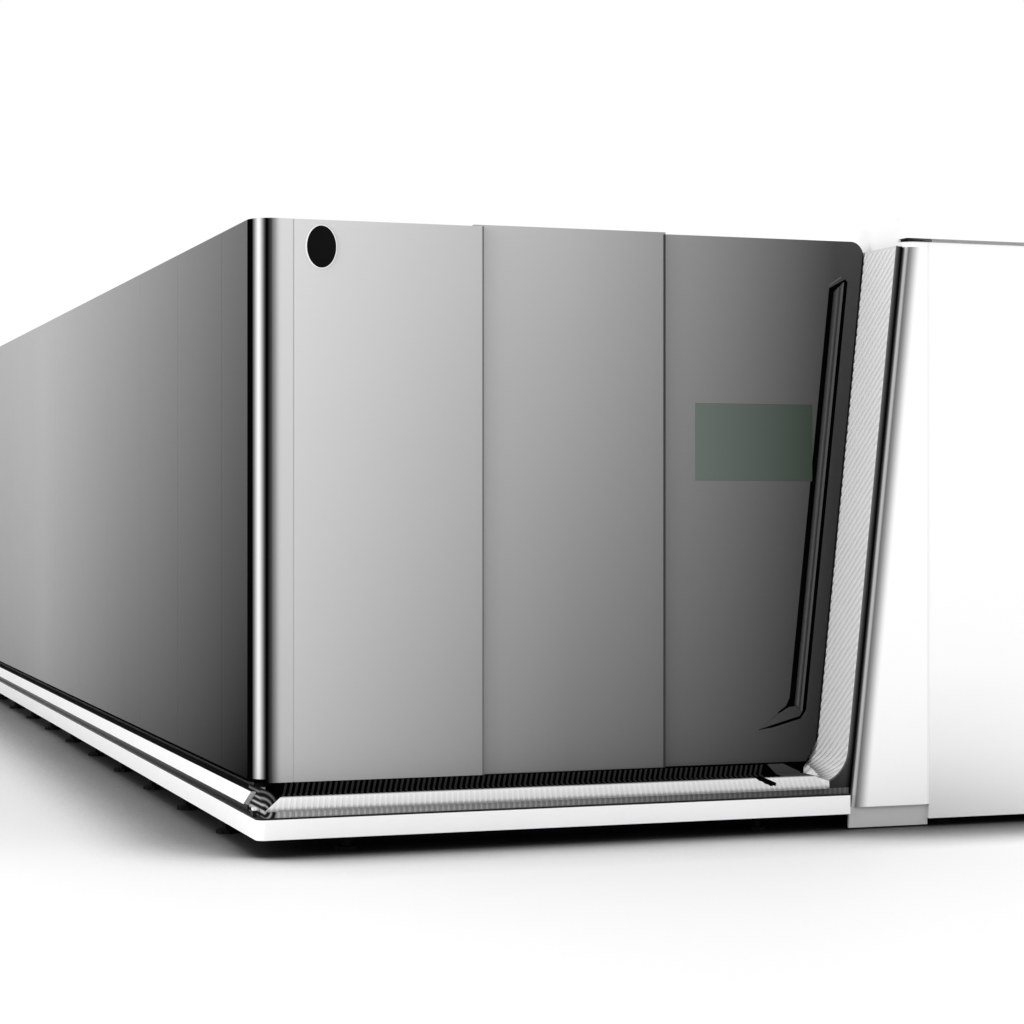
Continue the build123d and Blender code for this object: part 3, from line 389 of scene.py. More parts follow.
def jambTone(level):
    # light plastic, with painted shade darkening it just above the mitre of the plain toe, and a dark front edge
    def tone(tree, x, y, z):
        slant = mathNode(tree, "MULTIPLY", mathNode(tree, "SUBTRACT", y, sillY), toeMitre["rise"])
        above = mathNode(tree, "SUBTRACT", mathNode(tree, "SUBTRACT", z, toeMitre["foot"]), slant)
        shade = greyRamp(tree, spanNode(tree, above, 0.0, toeMitre["shade"]), [(0.0, 130), (0.5, 205), (1.0, level)])
        onToe = mathNode(tree, "LESS_THAN", above, 0.0)
        onEdge = mathNode(tree, "LESS_THAN", y, sillY + 0.0005)
        light = mixColor(tree, onToe, shade, grey(toeMitre["level"]))
        return mixColor(tree, onEdge, light, grey(toeMitre["edgeLevel"]))

    return tone


# slanted ribs of the tread, black, and finer ones on the light nose below it
treadRibs = {
    "pitch": 0.0205, "width": 0.0085, "height": 0.0025, "slant": 0.030, "end": 0.105, "noseStart": 0.056,
    "noseRise": 0.0015, "noseEdge": 0.005, "noseBack": 0.004,
    "lipFoot": 0.137, "lipTop": 0.157, "lipStand": 0.0012, "lipShift": 0.03,
    "guideFoot": 0.1965, "guideTop": 0.2335, "guideLean": 0.008, "guideStand": 0.0015,
}


def grooveMask(tree, x, shift):
    # 1 in the grooves between the ribs of the nose
    first = low("sill_nose")[0] + treadRibs["noseStart"]
    along = mathNode(tree, "SUBTRACT", mathNode(tree, "SUBTRACT", x, first), shift)
    turn = mathNode(tree, "FRACT", mathNode(tree, "DIVIDE", along, treadRibs["pitch"]))
    return mathNode(tree, "GREATER_THAN", turn, treadRibs["width"] / treadRibs["pitch"])


def noseTone(tree, x, y, z):
    # painted light and shade: pale on its lit top and greyer towards its lower edge, with painted shade in the
    # grooves, deepest low down
    lowest, highest = low("sill_nose"), high("sill_nose")
    up = spanNode(tree, z, lowest[2], highest[2])
    tone = greyRamp(tree, up, [(0.0, 150), (0.13, 168), (0.3, 222), (0.7, 236), (0.93, 244), (1.0, 140)])
    share = spanNode(tree, y, lowest[1], highest[1] - treadRibs["noseBack"])
    groove = grooveMask(tree, x, mathNode(tree, "MULTIPLY", share, treadRibs["slant"]))
    grooveShade = rampNode(tree, up, [(0.0, 0.7), (0.2, 0.78), (0.4, 0.92), (1.0, 0.94)])
    return mixColor(tree, groove, tone, mixColor(tree, 1.0, tone, grooveShade, "MULTIPLY"))


def gripTone(tree, x, y, z):
    # two edges with painted shade in the dark groove between them, along the leaning grip
    across = spanNode(tree, acrossLean(tree, x, z), *leanSpans["grip"])
    return greyRamp(tree, across, [(0.0, 60), (0.2, 84), (0.42, 76), (0.52, 50), (0.64, 50), (0.74, 80), (1.0, 86)])


def cabinTone(tree, x, y, z):
    # white, with painted shade making the cabin's front greyer towards its foot, most near its left edge
    near = low("cabin_shell")[0]
    foot = mixColor(tree, spanNode(tree, x, near, near + 0.5), grey(222), grey(246))
    up = rampNode(tree, spanNode(tree, z, 0.1, 0.6), [(0.0, 0.0), (0.35, 0.6), (1.0, 1.0)])
    return mixColor(tree, up, foot, grey(248))


# concentric ribs on the boss at the left end of the sill, drawn as painted highlights on their crests, and the lip
# under the nose, with painted light fading from left to right and painted shade in its grooves
bossRibs = {
    "centre": 0.155, "pitch": 0.0205, "phase": 0.4, "inner": 0.03, "reach": 0.08, "lipReach": 0.04,
    "dark": 22, "near": 190, "far": 34,
}
sillLip = {"near": 205, "far": 96, "top": 0.006, "start": 0.1, "end": 2.1, "groove": 0.7, "level": 6}


def sillTone(tree, x, y, z):
    data = bossRibs
    across = mathNode(tree, "SUBTRACT", x, leftX)
    rise = mathNode(tree, "SUBTRACT", z, data["centre"])
    squares = [mathNode(tree, "POWER", side, 2.0) for side in (across, rise)]
    radius = mathNode(tree, "SQRT", mathNode(tree, "ADD", *squares))
    turn = mathNode(tree, "ADD", mathNode(tree, "DIVIDE", radius, data["pitch"]), data["phase"])
    # painted highlights on the ring crests, brightest near the centre
    crestHighlight = mixColor(tree, spanNode(tree, radius, data["inner"], data["reach"]), grey(data["near"]), grey(data["far"]))
    crest = rampNode(tree, mathNode(tree, "FRACT", turn), [
        (0.0, 0.0), (0.22, 0.05), (0.5, 1.0), (0.78, 0.05), (1.0, 0.0),
    ])
    rings = mixColor(tree, crest, grey(data["dark"]), crestHighlight)
    under = mathNode(tree, "LESS_THAN", z, low("sill_nose")[2] + sillLip["top"])
    cut = mathNode(tree, "MULTIPLY", under, data["reach"] - data["lipReach"])
    onBoss = mathNode(tree, "LESS_THAN", across, mathNode(tree, "SUBTRACT", data["reach"] + 0.002, cut))
    # painted light on the lip, fading from left to right, with painted shade in its grooves
    along = spanNode(tree, across, sillLip["start"], sillLip["end"])
    lip = mixColor(tree, along, grey(sillLip["near"]), grey(sillLip["far"]))
    lipGrooveShade = mixColor(tree, 1.0, lip, (*[sillLip["groove"]] * 3, 1), "MULTIPLY")
    lip = mixColor(tree, grooveMask(tree, x, treadRibs["lipShift"]), lip, lipGrooveShade)
    return mixColor(tree, onBoss, mixColor(tree, under, grey(sillLip["level"]), lip), rings)


# the black column with the strip let into it, which carries a painted highlight: metres, and degrees round from the
# left wall
columnData = {
    "radius": 0.085, "wall": 0.020, "stripStart": 26.5, "stripEnd": 65.5, "end": 79,
    "stripInset": 0.0005, "recess": 0.008, "stripMargin": 0.012, "stripGap": 0.3,
    "steps": 40, "plainSteps": 12, "endSteps": 8,
}
columnCentre = (leftX + columnData["radius"], frontY + columnData["radius"])
# degrees round the column and screen levels of the painted highlight across the strip
stripHighlightLevels = [
    (26.5, 12), (28.6, 43), (34.7, 123), (40.4, 181), (45.7, 221),
    (50.9, 202), (55.8, 146), (60.7, 78), (63.1, 40), (65.5, 8),
]


def roundColumn(tree, x, y):
    # share of a right angle round the column: 0 at the left wall, 1 at the front
    outX = mathNode(tree, "SUBTRACT", columnCentre[0], x)
    outY = mathNode(tree, "SUBTRACT", columnCentre[1], y)
    angle = mathNode(tree, "ARCTAN2", outY, outX)
    return mathNode(tree, "DIVIDE", angle, math.pi / 2)


def columnTone(tree, x, y, z):
    # black, lifting to a dark grey painted reflection where the column meets the corner panel
    return greyRamp(tree, roundColumn(tree, x, y), [(0.0, 4), (0.77, 4), (0.81, 34), (0.86, 62)])


def cornerTone(tree, x, y, z):
    # painted reflection on the bend: black where it leaves the column, rising to the door panels' painted shade, which
    # lightens towards the top
    flat = mixColor(tree, spanNode(tree, z, *wallSpan), grey(183), grey(207))
    start = low("corner_panel")[0]
    turn = rampNode(tree, spanNode(tree, x, start + 0.002, start + 0.041), [
        (0.0, 0.07), (0.09, 0.19), (0.27, 0.36), (0.45, 0.56), (0.63, 0.81), (0.8, 0.95), (1.0, 1.0),
    ])
    return mixColor(tree, 1.0, flat, turn, "MULTIPLY")


# the pillar's plain top and the seam along its right edge
pillarShade = {"topGap": 0.002, "topLevel": 246, "seam": 0.009, "seamLevel": 240}


def pillarTone(tree, x, y, z):
    # black painted shade in the gap, a painted highlight on the edge, then a painted reflection darkening the side of
    # a rounded corner before it turns to white
    data = pillarShade
    tone = greyRamp(tree, spanNode(tree, acrossLean(tree, x, z), *leanSpans["pillar"]), [
        (0.0, 6), (0.055, 8), (0.1, 100), (0.14, 208), (0.185, 190), (0.235, 106),
        (0.34, 142), (0.48, 196), (0.6, 232), (0.72, 250), (1.0, 250),
    ])
    onTop = mathNode(tree, "GREATER_THAN", z, high("ribbed_jamb")[2] - data["topGap"])
    tone = mixColor(tree, onTop, tone, grey(data["topLevel"]))
    seam = mathNode(tree, "GREATER_THAN", x, high("pillar")[0] - data["seam"])
    return mixColor(tree, seam, tone, grey(data["seamLevel"]))


def makeStripHighlight():
    material, tree, shader = newMaterial("paintedHighlightStrip", 0.3, specular=0.05)
    x, y, z = placeNode(tree)
    glow = greyRamp(tree, roundColumn(tree, x, y), [(angle / 90, level) for angle, level in stripHighlightLevels])
    # painted highlight across the strip; its faint glow is painted light as well
    linkAll(tree, [(glow, shader.inputs["Base Color"]), (glow, shader.inputs["Emission Color"])])
    shader.inputs["Emission Strength"].default_value = 0.05
    return material


def makeWindowGlass():
    # green safety glass, darker towards the grip
    material, tree, shader = newMaterial("greenSafetyGlass", 0.35, specular=0.1)
    x, y, z = placeNode(tree)
    near, far = low("viewing_window")[0], high("viewing_window")[0]
    tint = mixColor(tree, spanNode(tree, x, near, far), (0.116, 0.142, 0.126, 1), (0.033, 0.048, 0.036, 1))
    tree.links.new(tint, shader.inputs["Base Color"])
    return material


def metalFinish(name, color, roughness, spread, stretch, streak):
    material, tree, shader = newMaterial(name, roughness, metallic=1.0)
    group = groupNode(tree, groundMetal, {"Color": color, "Stretch": stretch, "Streak": streak})
    rough = tree.nodes.new("ShaderNodeMapRange")
    rough.inputs["To Min"].default_value = roughness - spread
    rough.inputs["To Max"].default_value = roughness + spread
    linkAll(tree, [
        (group.outputs["Color"], shader.inputs["Base Color"]),
        (group.outputs["Roughness Mask"], rough.inputs["Value"]),
        (rough.outputs["Result"], shader.inputs["Roughness"]),
    ])
    addBump(tree, shader, group.outputs["Height"], strength=0.1, distance=0.0005)
    return material


# plain coats: screen level, roughness, cloudiness and specular level
whitePaint = plainCoat("whiteEnamel", 248, 0.4, 0.012, 0.3)
blackPaint = plainCoat("blackEnamel", 4, 0.4, 0.05)
blackPlastic = plainCoat("grainedBlackPlastic", 20, 0.45, 0.1, 0.3)
badgePlastic = plainCoat("badgeBlackGloss", 7, 0.3, 0.02, 0.06)
rimPaint = plainCoat("badgeRimSatin", 232, 0.4, 0.02, 0.2)
blackRubber = plainCoat("blackRubber", 4, 0.8, 0.1)
ribRubber = plainCoat("treadRibRubber", 46, 0.8, 0.1)
seamRubber = plainCoat("panelSeamRubber", 175, 0.8, 0.05)
plateGrey = plainCoat("guideEndGrey", 70, 0.6, 0.06)
lipGrey = plainCoat("recessLipGrey", 96, 0.5, 0.03)
plinthShadowGrey = plainCoat("plinthShadowGrey", 196, 0.6, 0.03)
footPaint = plainCoat("footBlack", 14, 0.5, 0.1, 0.05)

# coats whose colour a function works out from the place, mostly painted light and shade: roughness, cloudiness and
# specular level
frontPaint = shadedCoat("frontDoorPaint", frontTone, 0.5)
leafPaint = shadedCoat("handleLeafPaint", leafTone, 0.5)
sidePaint = shadedCoat("sideWallPaint", sideTone, 0.5)
cornerPaint = shadedCoat("cornerPanelPaint", cornerTone, 0.5)
columnPaint = shadedCoat("columnBlack", columnTone, 0.5, 0.05)
pillarPaint = shadedCoat("pillarEnamel", pillarTone, 0.4, specular=0.1)
framePaint = shadedCoat("frameEnamel", frameTone, 0.5, 0.06, 0.3)
bandPaint = shadedCoat("baseBandEnamel", bandTone, 0.4, 0.012, 0.1)
jambPaint = shadedCoat("jambLightPlastic", jambTone(212), 0.5, 0.02)
# the ribs take a lighter copy of the jamb's plastic: painted light on the ribs against the shaded face between them
jambRibLitPaint = shadedCoat("jambRibLitPlastic", jambTone(228), 0.5, 0.02)
nosePaint = shadedCoat("nosePlastic", noseTone, 0.5, 0.02, 0.1)
handlePaint = shadedCoat("handleDarkGrey", gripTone, 0.4, 0.04, 0.1)
cabinPaint = shadedCoat("cabinEnamel", cabinTone, 0.4, 0.012, 0.3)
sillPaint = shadedCoat("sillBlack", sillTone, 0.5, 0.04)
sealRubber = shadedCoat("doorSealRubber", sealTone, 0.7, 0.25)

groundSteel = metalFinish("groundRailSteel", (0.6, 0.61, 0.62, 1), 0.28, 0.08, (60, 1, 60), 0.3)
millSteel = metalFinish("millScaleSteel", (0.32, 0.31, 0.3, 1), 0.5, 0.15, (1, 60, 20), 0.5)
castAluminium = metalFinish("machinedAluminium", (0.76, 0.77, 0.78, 1), 0.34, 0.08, (1, 40, 40), 0.15)
turnedCopper = metalFinish("turnedCopper", (0.75, 0.38, 0.22, 1), 0.25, 0.06, (1, 1, 80), 0.2)
stripHighlight = makeStripHighlight()
windowGlass = makeWindowGlass()
print("materials built")

# solids of each finish; the wall panels take the side's, and what isn't named is white
finishes = [
    (cornerPaint, ["corner_panel"]),
    (frontPaint, ["fixed_door_panel", "door_leaf_middle"]),
    (leafPaint, ["door_leaf_front"]),
    (windowGlass, ["viewing_window"]),
    (badgePlastic, ["blank_badge"]),
    (blackPaint, ["corner_column"]),
    (stripHighlight, ["light_strip"]),
    (sillPaint, ["sill_beam"]),
    (blackRubber, ["door_guide", "sill_tread"]),
    (nosePaint, ["sill_nose"]),
    (jambPaint, ["ribbed_jamb"]),
    (sealRubber, ["jamb_seal"]),
    (pillarPaint, ["pillar"]),
    (handlePaint, ["door_handle"]),
    (cabinPaint, ["cabin_shell"]),
    (bandPaint, ["base_frame", "base_rail_front"]),
    (framePaint, ["enclosure_frame", "machine_bed", "exchange_frame", "shuttle_table"]),
    (millSteel, ["support_slats"]),
    (castAluminium, ["gantry_beam", "carriage", "cutting_head"]),
    (turnedCopper, ["nozzle"]),
    (blackPlastic, ["drive_motors"]),
    (footPaint, ["levelling_feet"]),
    (groundSteel, [
        "door_track", "gantry_racks", "gantry_rail_left", "gantry_rail_right", "table_rail_left", "table_rail_right",
        "pinion_left", "pinion_right", "wheelset_front", "wheelset_rear",
    ]),
    (sidePaint, [name for name in nodes if name.startswith("left_panel")]),
]
finishOf = {name: finish for finish, names in finishes for name in names}
for name, node in nodes.items():
    node.data.materials.clear()
    node.data.materials.append(finishOf.get(name, whitePaint))


def newPiece(name, shape, material, body, bevel=0.0, smooth=35, outward=True):
    if outward:
        bmesh.ops.recalc_face_normals(shape, faces=shape.faces)
    mesh = bpy.data.meshes.new(name)
    shape.to_mesh(mesh)
    shape.free()
    piece = bpy.data.objects.new(name, mesh)
    bpy.context.scene.collection.objects.link(piece)
    mesh.materials.append(material)
    if smooth:
        mesh.shade_smooth()
        mesh.set_sharp_from_angle(angle=math.radians(smooth))
    if bevel:
        rounding = piece.modifiers.new("rounding", "BEVEL")
        rounding.width = bevel
        rounding.segments = 2
        rounding.limit_method = "ANGLE"
        rounding.angle_limit = math.radians(40)
    if body:
        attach(piece, body)
    return piece


def addBar(shape, lowest, highest):
    size = [b - a for a, b in zip(lowest, highest)]
    middle = [(a + b) / 2 for a, b in zip(lowest, highest)]
    matrix = Matrix.Translation(middle) @ Matrix.Diagonal((*size, 1))
    return bmesh.ops.create_cube(shape, size=1.0, matrix=matrix)["verts"]


def bridgeRings(shape, rings):
    for before, after in zip(rings, rings[1:]):
        for number in range(len(before)):
            turn = (number + 1) % len(before)
            shape.faces.new((before[number], before[turn], after[turn], after[number]))


def addPlate(shape, outline, offset):
    # flat outline of points, made solid by an offset
    shifts = (Vector(), Vector(offset))
    rings = [[shape.verts.new(Vector(point) + shift) for point in outline] for shift in shifts]
    for ring in rings:
        shape.faces.new(ring)
    bridgeRings(shape, rings)


def cutAway(shape, place, normal):
    # takes away what lies on the side of a plane that its normal points to
    geom = list(shape.verts) + list(shape.edges) + list(shape.faces)
    bmesh.ops.bisect_plane(shape, geom=geom, plane_co=place, plane_no=normal, clear_outer=True, clear_inner=False)


def spunSection(shape, profile, startAngle, endAngle, steps):
    # profile of radius and height, turned about the column's axis, counted from the left wall
    x, y = columnCentre
    a = math.radians(startAngle)
    verts = [shape.verts.new((x - radius * math.cos(a), y - radius * math.sin(a), z)) for radius, z in profile]
    face = shape.faces.new(verts)
    geom = [face] + list(face.edges) + verts
    bmesh.ops.spin(
        shape, geom=geom, cent=(x, y, 0), axis=(0, 0, 1),
        angle=math.radians(endAngle - startAngle), steps=steps, use_merge=False, use_duplicate=False,
    )


def buildCornerColumn():
    data = columnData
    outer, inner = data["radius"], data["radius"] - data["wall"]
    foot, top = doorFoot, doorTop
    margin = data["stripMargin"]
    recess = outer - data["recess"]
    shape = bmesh.new()
    plain = [(inner, foot), (outer, foot), (outer, top), (inner, top)]
    cut = [(inner, foot), (outer, foot), (outer, foot + margin), (recess, foot + margin), (recess, top), (inner, top)]
    spunSection(shape, plain, 0, data["stripStart"], data["plainSteps"])
    spunSection(shape, cut, data["stripStart"], data["stripEnd"], data["steps"])
    spunSection(shape, plain, data["stripEnd"], data["end"], data["endSteps"])
    column = newPiece("cornerColumnSkin", shape, columnPaint, "machine")
    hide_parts("corner_column")
    shape = bmesh.new()
    back, face = recess + 0.0002, outer - data["stripInset"]
    stripFoot = foot + margin + 0.0005
    glow = [(back, stripFoot), (face, stripFoot), (face, top), (back, top)]
    start, end = data["stripStart"] + data["stripGap"], data["stripEnd"] - data["stripGap"]
    spunSection(shape, glow, start, end, data["steps"])
    strip = newPiece("paintedHighlightStrip", shape, stripHighlight, "machine")
    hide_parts("light_strip")


buildCornerColumn()

# diagonal ribs on the inner face of the leaning jamb and down the curve to its toe
jambRibs = {
    "pitch": 0.0345, "width": 0.0165, "height": 0.003, "rise": 42.9, "turn": 0.300, "toe": 0.190, "top": 2.185,
    "gap": 0.004, "bend": (-0.022, 0.232), "steps": 7, "arcSteps": 12, "past": 0.3, "merge": 0.00001,
}


def circleThrough(a, b, c):
    # centre and radius of the circle through three points
    d = 2 * (a[0] * (b[1] - c[1]) + b[0] * (c[1] - a[1]) + c[0] * (a[1] - b[1]))
    squares = [point[0] ** 2 + point[1] ** 2 for point in (a, b, c)]
    x = (squares[0] * (b[1] - c[1]) + squares[1] * (c[1] - a[1]) + squares[2] * (a[1] - b[1])) / d
    z = (squares[0] * (c[0] - b[0]) + squares[1] * (a[0] - c[0]) + squares[2] * (b[0] - a[0])) / d
    return x, z, math.hypot(a[0] - x, a[1] - z)


def jambPath():
    # points up the inner face from the toe, and the length from the toe to each
    data = jambRibs
    toe = (low("ribbed_jamb")[0], data["toe"])
    bend = (leanX(data["turn"]) + data["bend"][0], data["bend"][1])
    turn = (leanX(data["turn"]) + data["gap"], data["turn"])
    x, z, radius = circleThrough(toe, bend, turn)
    start, end = (math.atan2(point[1] - z, point[0] - x) for point in (toe, turn))
    points = []
    for step in range(data["arcSteps"] + 1):
        angle = start + (end - start) * step / data["arcSteps"]
        points.append((x + radius * math.cos(angle), z + radius * math.sin(angle)))
    # the ribs run past the top and are cut level there
    past = data["top"] + data["past"]
    points.append((leanX(past) + data["gap"], past))
    lengths = [0.0]
    for before, after in zip(points, points[1:]):
        lengths.append(lengths[-1] + math.dist(before, after))
    return points, lengths


def onPath(points, lengths, length):
    # place at a length along the path, and the direction out of the jamb there
    number = max(i for i in range(len(points) - 1) if lengths[i] <= length or i == 0)
    share = (length - lengths[number]) / (lengths[number + 1] - lengths[number])
    before, after = Vector(points[number]), Vector(points[number + 1])
    along = (after - before).normalized()
    return before.lerp(after, share), Vector((-along.y, along.x))


def buildJambRibs():
    data = jambRibs
    points, lengths = jambPath()
    depth = (sillY + 0.002, high("ribbed_jamb")[1] - 0.002)
    run = (depth[1] - depth[0]) * math.tan(math.radians(data["rise"]))
    total = lengths[-1]
    shape = bmesh.new()
    for number in range(int((total + run) / data["pitch"])):
        foot = number * data["pitch"] - run
        steps = data["steps"] if foot < lengths[-2] else 1
        rings = []
        for step in range(steps + 1):
            share = step / steps
            y = depth[1] + share * (depth[0] - depth[1])
            ring = []
            for extra, height in ((0, 0), (data["width"], 0), (data["width"], data["height"]), (0, data["height"])):
                length = min(max(foot + share * run + extra, 0.001), total)
                place, normal = onPath(points, lengths, length)
                place = place + normal * height
                ring.append(shape.verts.new((place.x, y, place.y)))
            rings.append(ring)
        shape.faces.new(rings[0])
        shape.faces.new(rings[-1][::-1])
        bridgeRings(shape, rings)
    bmesh.ops.remove_doubles(shape, verts=shape.verts, dist=data["merge"])
    cutAway(shape, (0, sillY, toeMitre["foot"]), (0, toeMitre["rise"], -1))
    cutAway(shape, (0, 0, data["top"]), (0, 0, 1))
    bmesh.ops.holes_fill(shape, edges=[edge for edge in shape.edges if edge.is_boundary], sides=0)
    bmesh.ops.dissolve_degenerate(shape, edges=shape.edges, dist=data["merge"])
    newPiece("jambRibs", shape, jambRibLitPaint, "machine", smooth=0)


buildJambRibs()


def buildTreadRibs():
    data = treadRibs
    foot, top = low("sill_tread"), high("sill_tread")
    shape = bmesh.new()
    count = int((data["end"] - foot[0] - data["slant"] - data["guideLean"]) / data["pitch"])
    face = low("door_guide")[1]
    for number in range(count):
        x = foot[0] + number * data["pitch"]
        right = x + data["width"]
        verts = addBar(shape, (x, foot[1] + 0.001, top[2]), (right, frontY - 0.002, top[2] + data["height"]))
        for vert in verts:
            vert.co.x += data["slant"] * (vert.co.y - foot[1]) / (top[1] - foot[1])
        # the same ribs climb the face of the door guide
        near = face - data["guideStand"]
        verts = addBar(shape, (x, near, data["guideFoot"]), (right, face + 0.001, data["guideTop"]))
        for vert in verts:
            if vert.co.z > data["guideFoot"] + 0.01:
                vert.co.x += data["guideLean"]
            vert.co.x += data["slant"]
    newPiece("treadRibs", shape, ribRubber, "machine", smooth=0)
    noseLow, noseHigh = low("sill_nose"), high("sill_nose")
    frontEdge = (noseLow[1], noseLow[2] + data["noseEdge"])
    backEdge = (noseHigh[1] - data["noseBack"], noseHigh[2])
    shape = bmesh.new()
    first = noseLow[0] + data["noseStart"]
    for number in range(int((noseHigh[0] - first - data["slant"]) / data["pitch"])):
        x = first + number * data["pitch"]
        verts = addBar(shape, (x, 0, -0.001), (x + data["width"], 1, data["noseRise"]))
        for vert in verts:
            share = vert.co.y
            y = frontEdge[0] + share * (backEdge[0] - frontEdge[0])
            z = frontEdge[1] + share * (backEdge[1] - frontEdge[1]) + vert.co.z
            vert.co = Vector((vert.co.x + data["slant"] * share, y, z))
    newPiece("noseRibs", shape, nosePaint, "machine", smooth=0)
    # the same ribs run down the lip under the nose
    lipY = low("sill_beam")[1]
    shape = bmesh.new()
    for number in range(int((noseHigh[0] - first) / data["pitch"])):
        x = first + data["lipShift"] + number * data["pitch"]
        addBar(shape, (x, lipY - data["lipStand"], data["lipFoot"]), (x + data["width"], lipY + 0.001, data["lipTop"]))
    newPiece("lipRibs", shape, sillPaint, "machine", smooth=0)


buildTreadRibs()

# blank disc and the thin light rim round it
badge = {
    "growX": 0.0025, "growZ": 0.0045, "drop": 0.004, "rim": 0.004, "stand": 0.0045, "crown": 0.001,
    "bevelX": 0.004, "bevelZ": 0.005, "rimGap": 0.0002, "segments": 64,
}


def ellipseRings(shape, centre, halfX, halfZ, stations):
    # a station is what its ring grows by in x and in z, and its y
    rings = []
    for growX, growZ, y in stations:
        ring = []
        for number in range(badge["segments"]):
            angle = 2 * math.pi * number / badge["segments"]
            x = centre[0] + (halfX + growX) * math.cos(angle)
            ring.append(shape.verts.new((x, y, centre[2] + (halfZ + growZ) * math.sin(angle))))
        rings.append(ring)
    return rings


def buildBadge():
    lowest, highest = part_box("blank_badge")
    centre = [(a + b) / 2 for a, b in zip(lowest, highest)]
    centre[2] -= badge["drop"]
    halfX = (highest[0] - lowest[0]) / 2 + badge["growX"]
    halfZ = (highest[2] - lowest[2]) / 2 + badge["growZ"]
    back, face = highest[1], highest[1] - badge["stand"]
    shape = bmesh.new()
    rings = ellipseRings(shape, centre, halfX, halfZ, [
        (0, 0, back), (0, 0, face + badge["crown"]), (-badge["bevelX"], -badge["bevelZ"], face),
    ])
    bridgeRings(shape, rings)
    shape.faces.new(rings[0])
    shape.faces.new(rings[-1])
    disc = newPiece("badgeDisc", shape, badgePlastic, "machine")
    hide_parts("blank_badge")
    shape = bmesh.new()
    gap, rim = badge["rimGap"], badge["rim"]
    crest = rim - badge["crown"]
    rings = ellipseRings(shape, centre, halfX, halfZ, [
        (gap, gap, back), (gap, gap, face), (crest, crest, face), (rim, rim, back),
    ])
    bridgeRings(shape, rings + rings[:1])
    newPiece("badgeRim", shape, rimPaint, "machine")


buildBadge()

# grip in the recess of the front leaf: corners (x, z) of its slanted foot and top, and its section
grip = {
    "foot": ((0.2378, 0.4515), (0.2653, 0.4259)), "top": ((0.4044, 2.0396), (0.4430, 2.0760)),
    "section": ((0.0, 0.0), (0.36, 0.0), (0.46, 0.004), (0.66, 0.004), (0.76, 0.0), (1.0, 0.0)),
    "stand": 0.002, "back": 0.0119,
}


def buildGrip():
    data = grip
    front = leafY - data["stand"]
    shape = bmesh.new()
    rings = []
    for left, right in (data["foot"], data["top"]):
        left, right = Vector(left), Vector(right)
        ring = []
        for share, depth in data["section"]:
            place = left.lerp(right, share)
            ring.append(shape.verts.new((place.x, front + depth, place.y)))
        for place in (right, left):
            ring.append(shape.verts.new((place.x, leafY + data["back"], place.y)))
        rings.append(ring)
    bridgeRings(shape, rings)
    shape.faces.new(rings[0])
    shape.faces.new(rings[1])
    piece = newPiece("doorGrip", shape, handlePaint, "door_front", bevel=0.0008)
    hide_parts("door_handle")


buildGrip()

# the leaves stand a little taller than their solids, as far as the straps over the front leaf allow:
# pairs of a height and the lift there
leafTops = {
    "door_leaf_front": {"body": "door_front", "finish": leafPaint, "lifts": ((2.150, 0.0), (2.222, 0.012))},
    "door_leaf_middle": {
        "body": "door_middle", "finish": frontPaint, "lifts": ((2.200, 0.0), (2.226, 0.010), (2.230, 0.008)),
    },
}
leanReach = 0.2  # what lies nearer than this to the leaning edge moves along it


def liftAt(lifts, z):
    # lift at a height, straight between the pairs
    if z <= lifts[0][0]:
        return 0.0
    for (foot, first), (top, last) in zip(lifts, lifts[1:]):
        if z <= top:
            return first + (last - first) * (z - foot) / (top - foot)
    return lifts[-1][1]


def buildLeafTops():
    for name, data in leafTops.items():
        shape = bmesh.new()
        shape.from_mesh(nodes[name].data)
        for face in shape.faces:
            face.material_index = 0
        for vert in shape.verts:
            lift = liftAt(data["lifts"], vert.co.z)
            vert.co.z += lift
            if vert.co.x > leanX(doorTop) - leanReach:
                vert.co.x += lift * leanSlope
        skin = newPiece(name + "_skin", shape, data["finish"], data["body"], outward=False)
        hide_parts(name)


buildLeafTops()

# outlines (x, z) on the front leaf: the blade under the grip, the skin below it, the black line that stands for
# painted shade at the edge of the recess, and the light lip at the top
leafPlates = {
    "blade": [
        (0.0830, 0.3627), (0.1700, 0.3867), (0.2540, 0.4092), (0.2653, 0.4259),
        (0.2378, 0.4480), (0.2083, 0.4445), (0.1650, 0.4195),
    ],
    "skirt": [
        (0.0700, 0.3500), (0.1700, 0.3757), (0.2568, 0.3986), (0.2640, 0.4040), (0.2560, 0.3850), (0.2400, 0.3700),
    ],
    "line": [(0.1600, 0.4215), (0.2083, 0.4440), (0.2134, 0.4560), (0.2083, 0.4575), (0.1650, 0.4270)],
    "lip": [(0.3780, 2.0590), (0.3790, 2.0640), (0.4300, 2.0985), (0.4320, 2.0935)],
}
# outlines at the right end of the sill
sillPlates = {
    # (x, z) on the face of the guide, and (x, y) on the tread
    "guideFace": [(0.0954, 0.2345), (0.1621, 0.2345), (0.2336, 0.2017), (0.2336, 0.1960), (0.1329, 0.1960)],
    "treadEnd": [(0.1200, -4.3030), (0.2480, -4.3030), (0.2480, -4.2010), (0.1350, -4.2010)],
    # (x, y) of the black tongue that laps over the nose
    "tongue": [
        (-0.0034, -4.3035), (0.0238, -4.3035), (0.0582, -4.3577),
        (0.0477, -4.3756), (0.0260, -4.3739), (-0.0017, -4.3195),
    ],
    # (y, z) of the cheek between the nose and the toe of the jamb
    "cheek": [(-4.4030, 0.1600), (-4.4030, 0.1880), (-4.3035, 0.1945), (-4.3035, 0.1968)],
}
# how far the plates stand out, or how thick they are
plateDepth = {"recess": 0.0015, "stand": 0.001, "treadEnd": 0.0012, "tongue": 0.0035, "cheek": 0.009}


def addFlat(name, outline, offset, material, body):
    shape = bmesh.new()
    addPlate(shape, outline, offset)
    newPiece(name, shape, material, body, smooth=0)


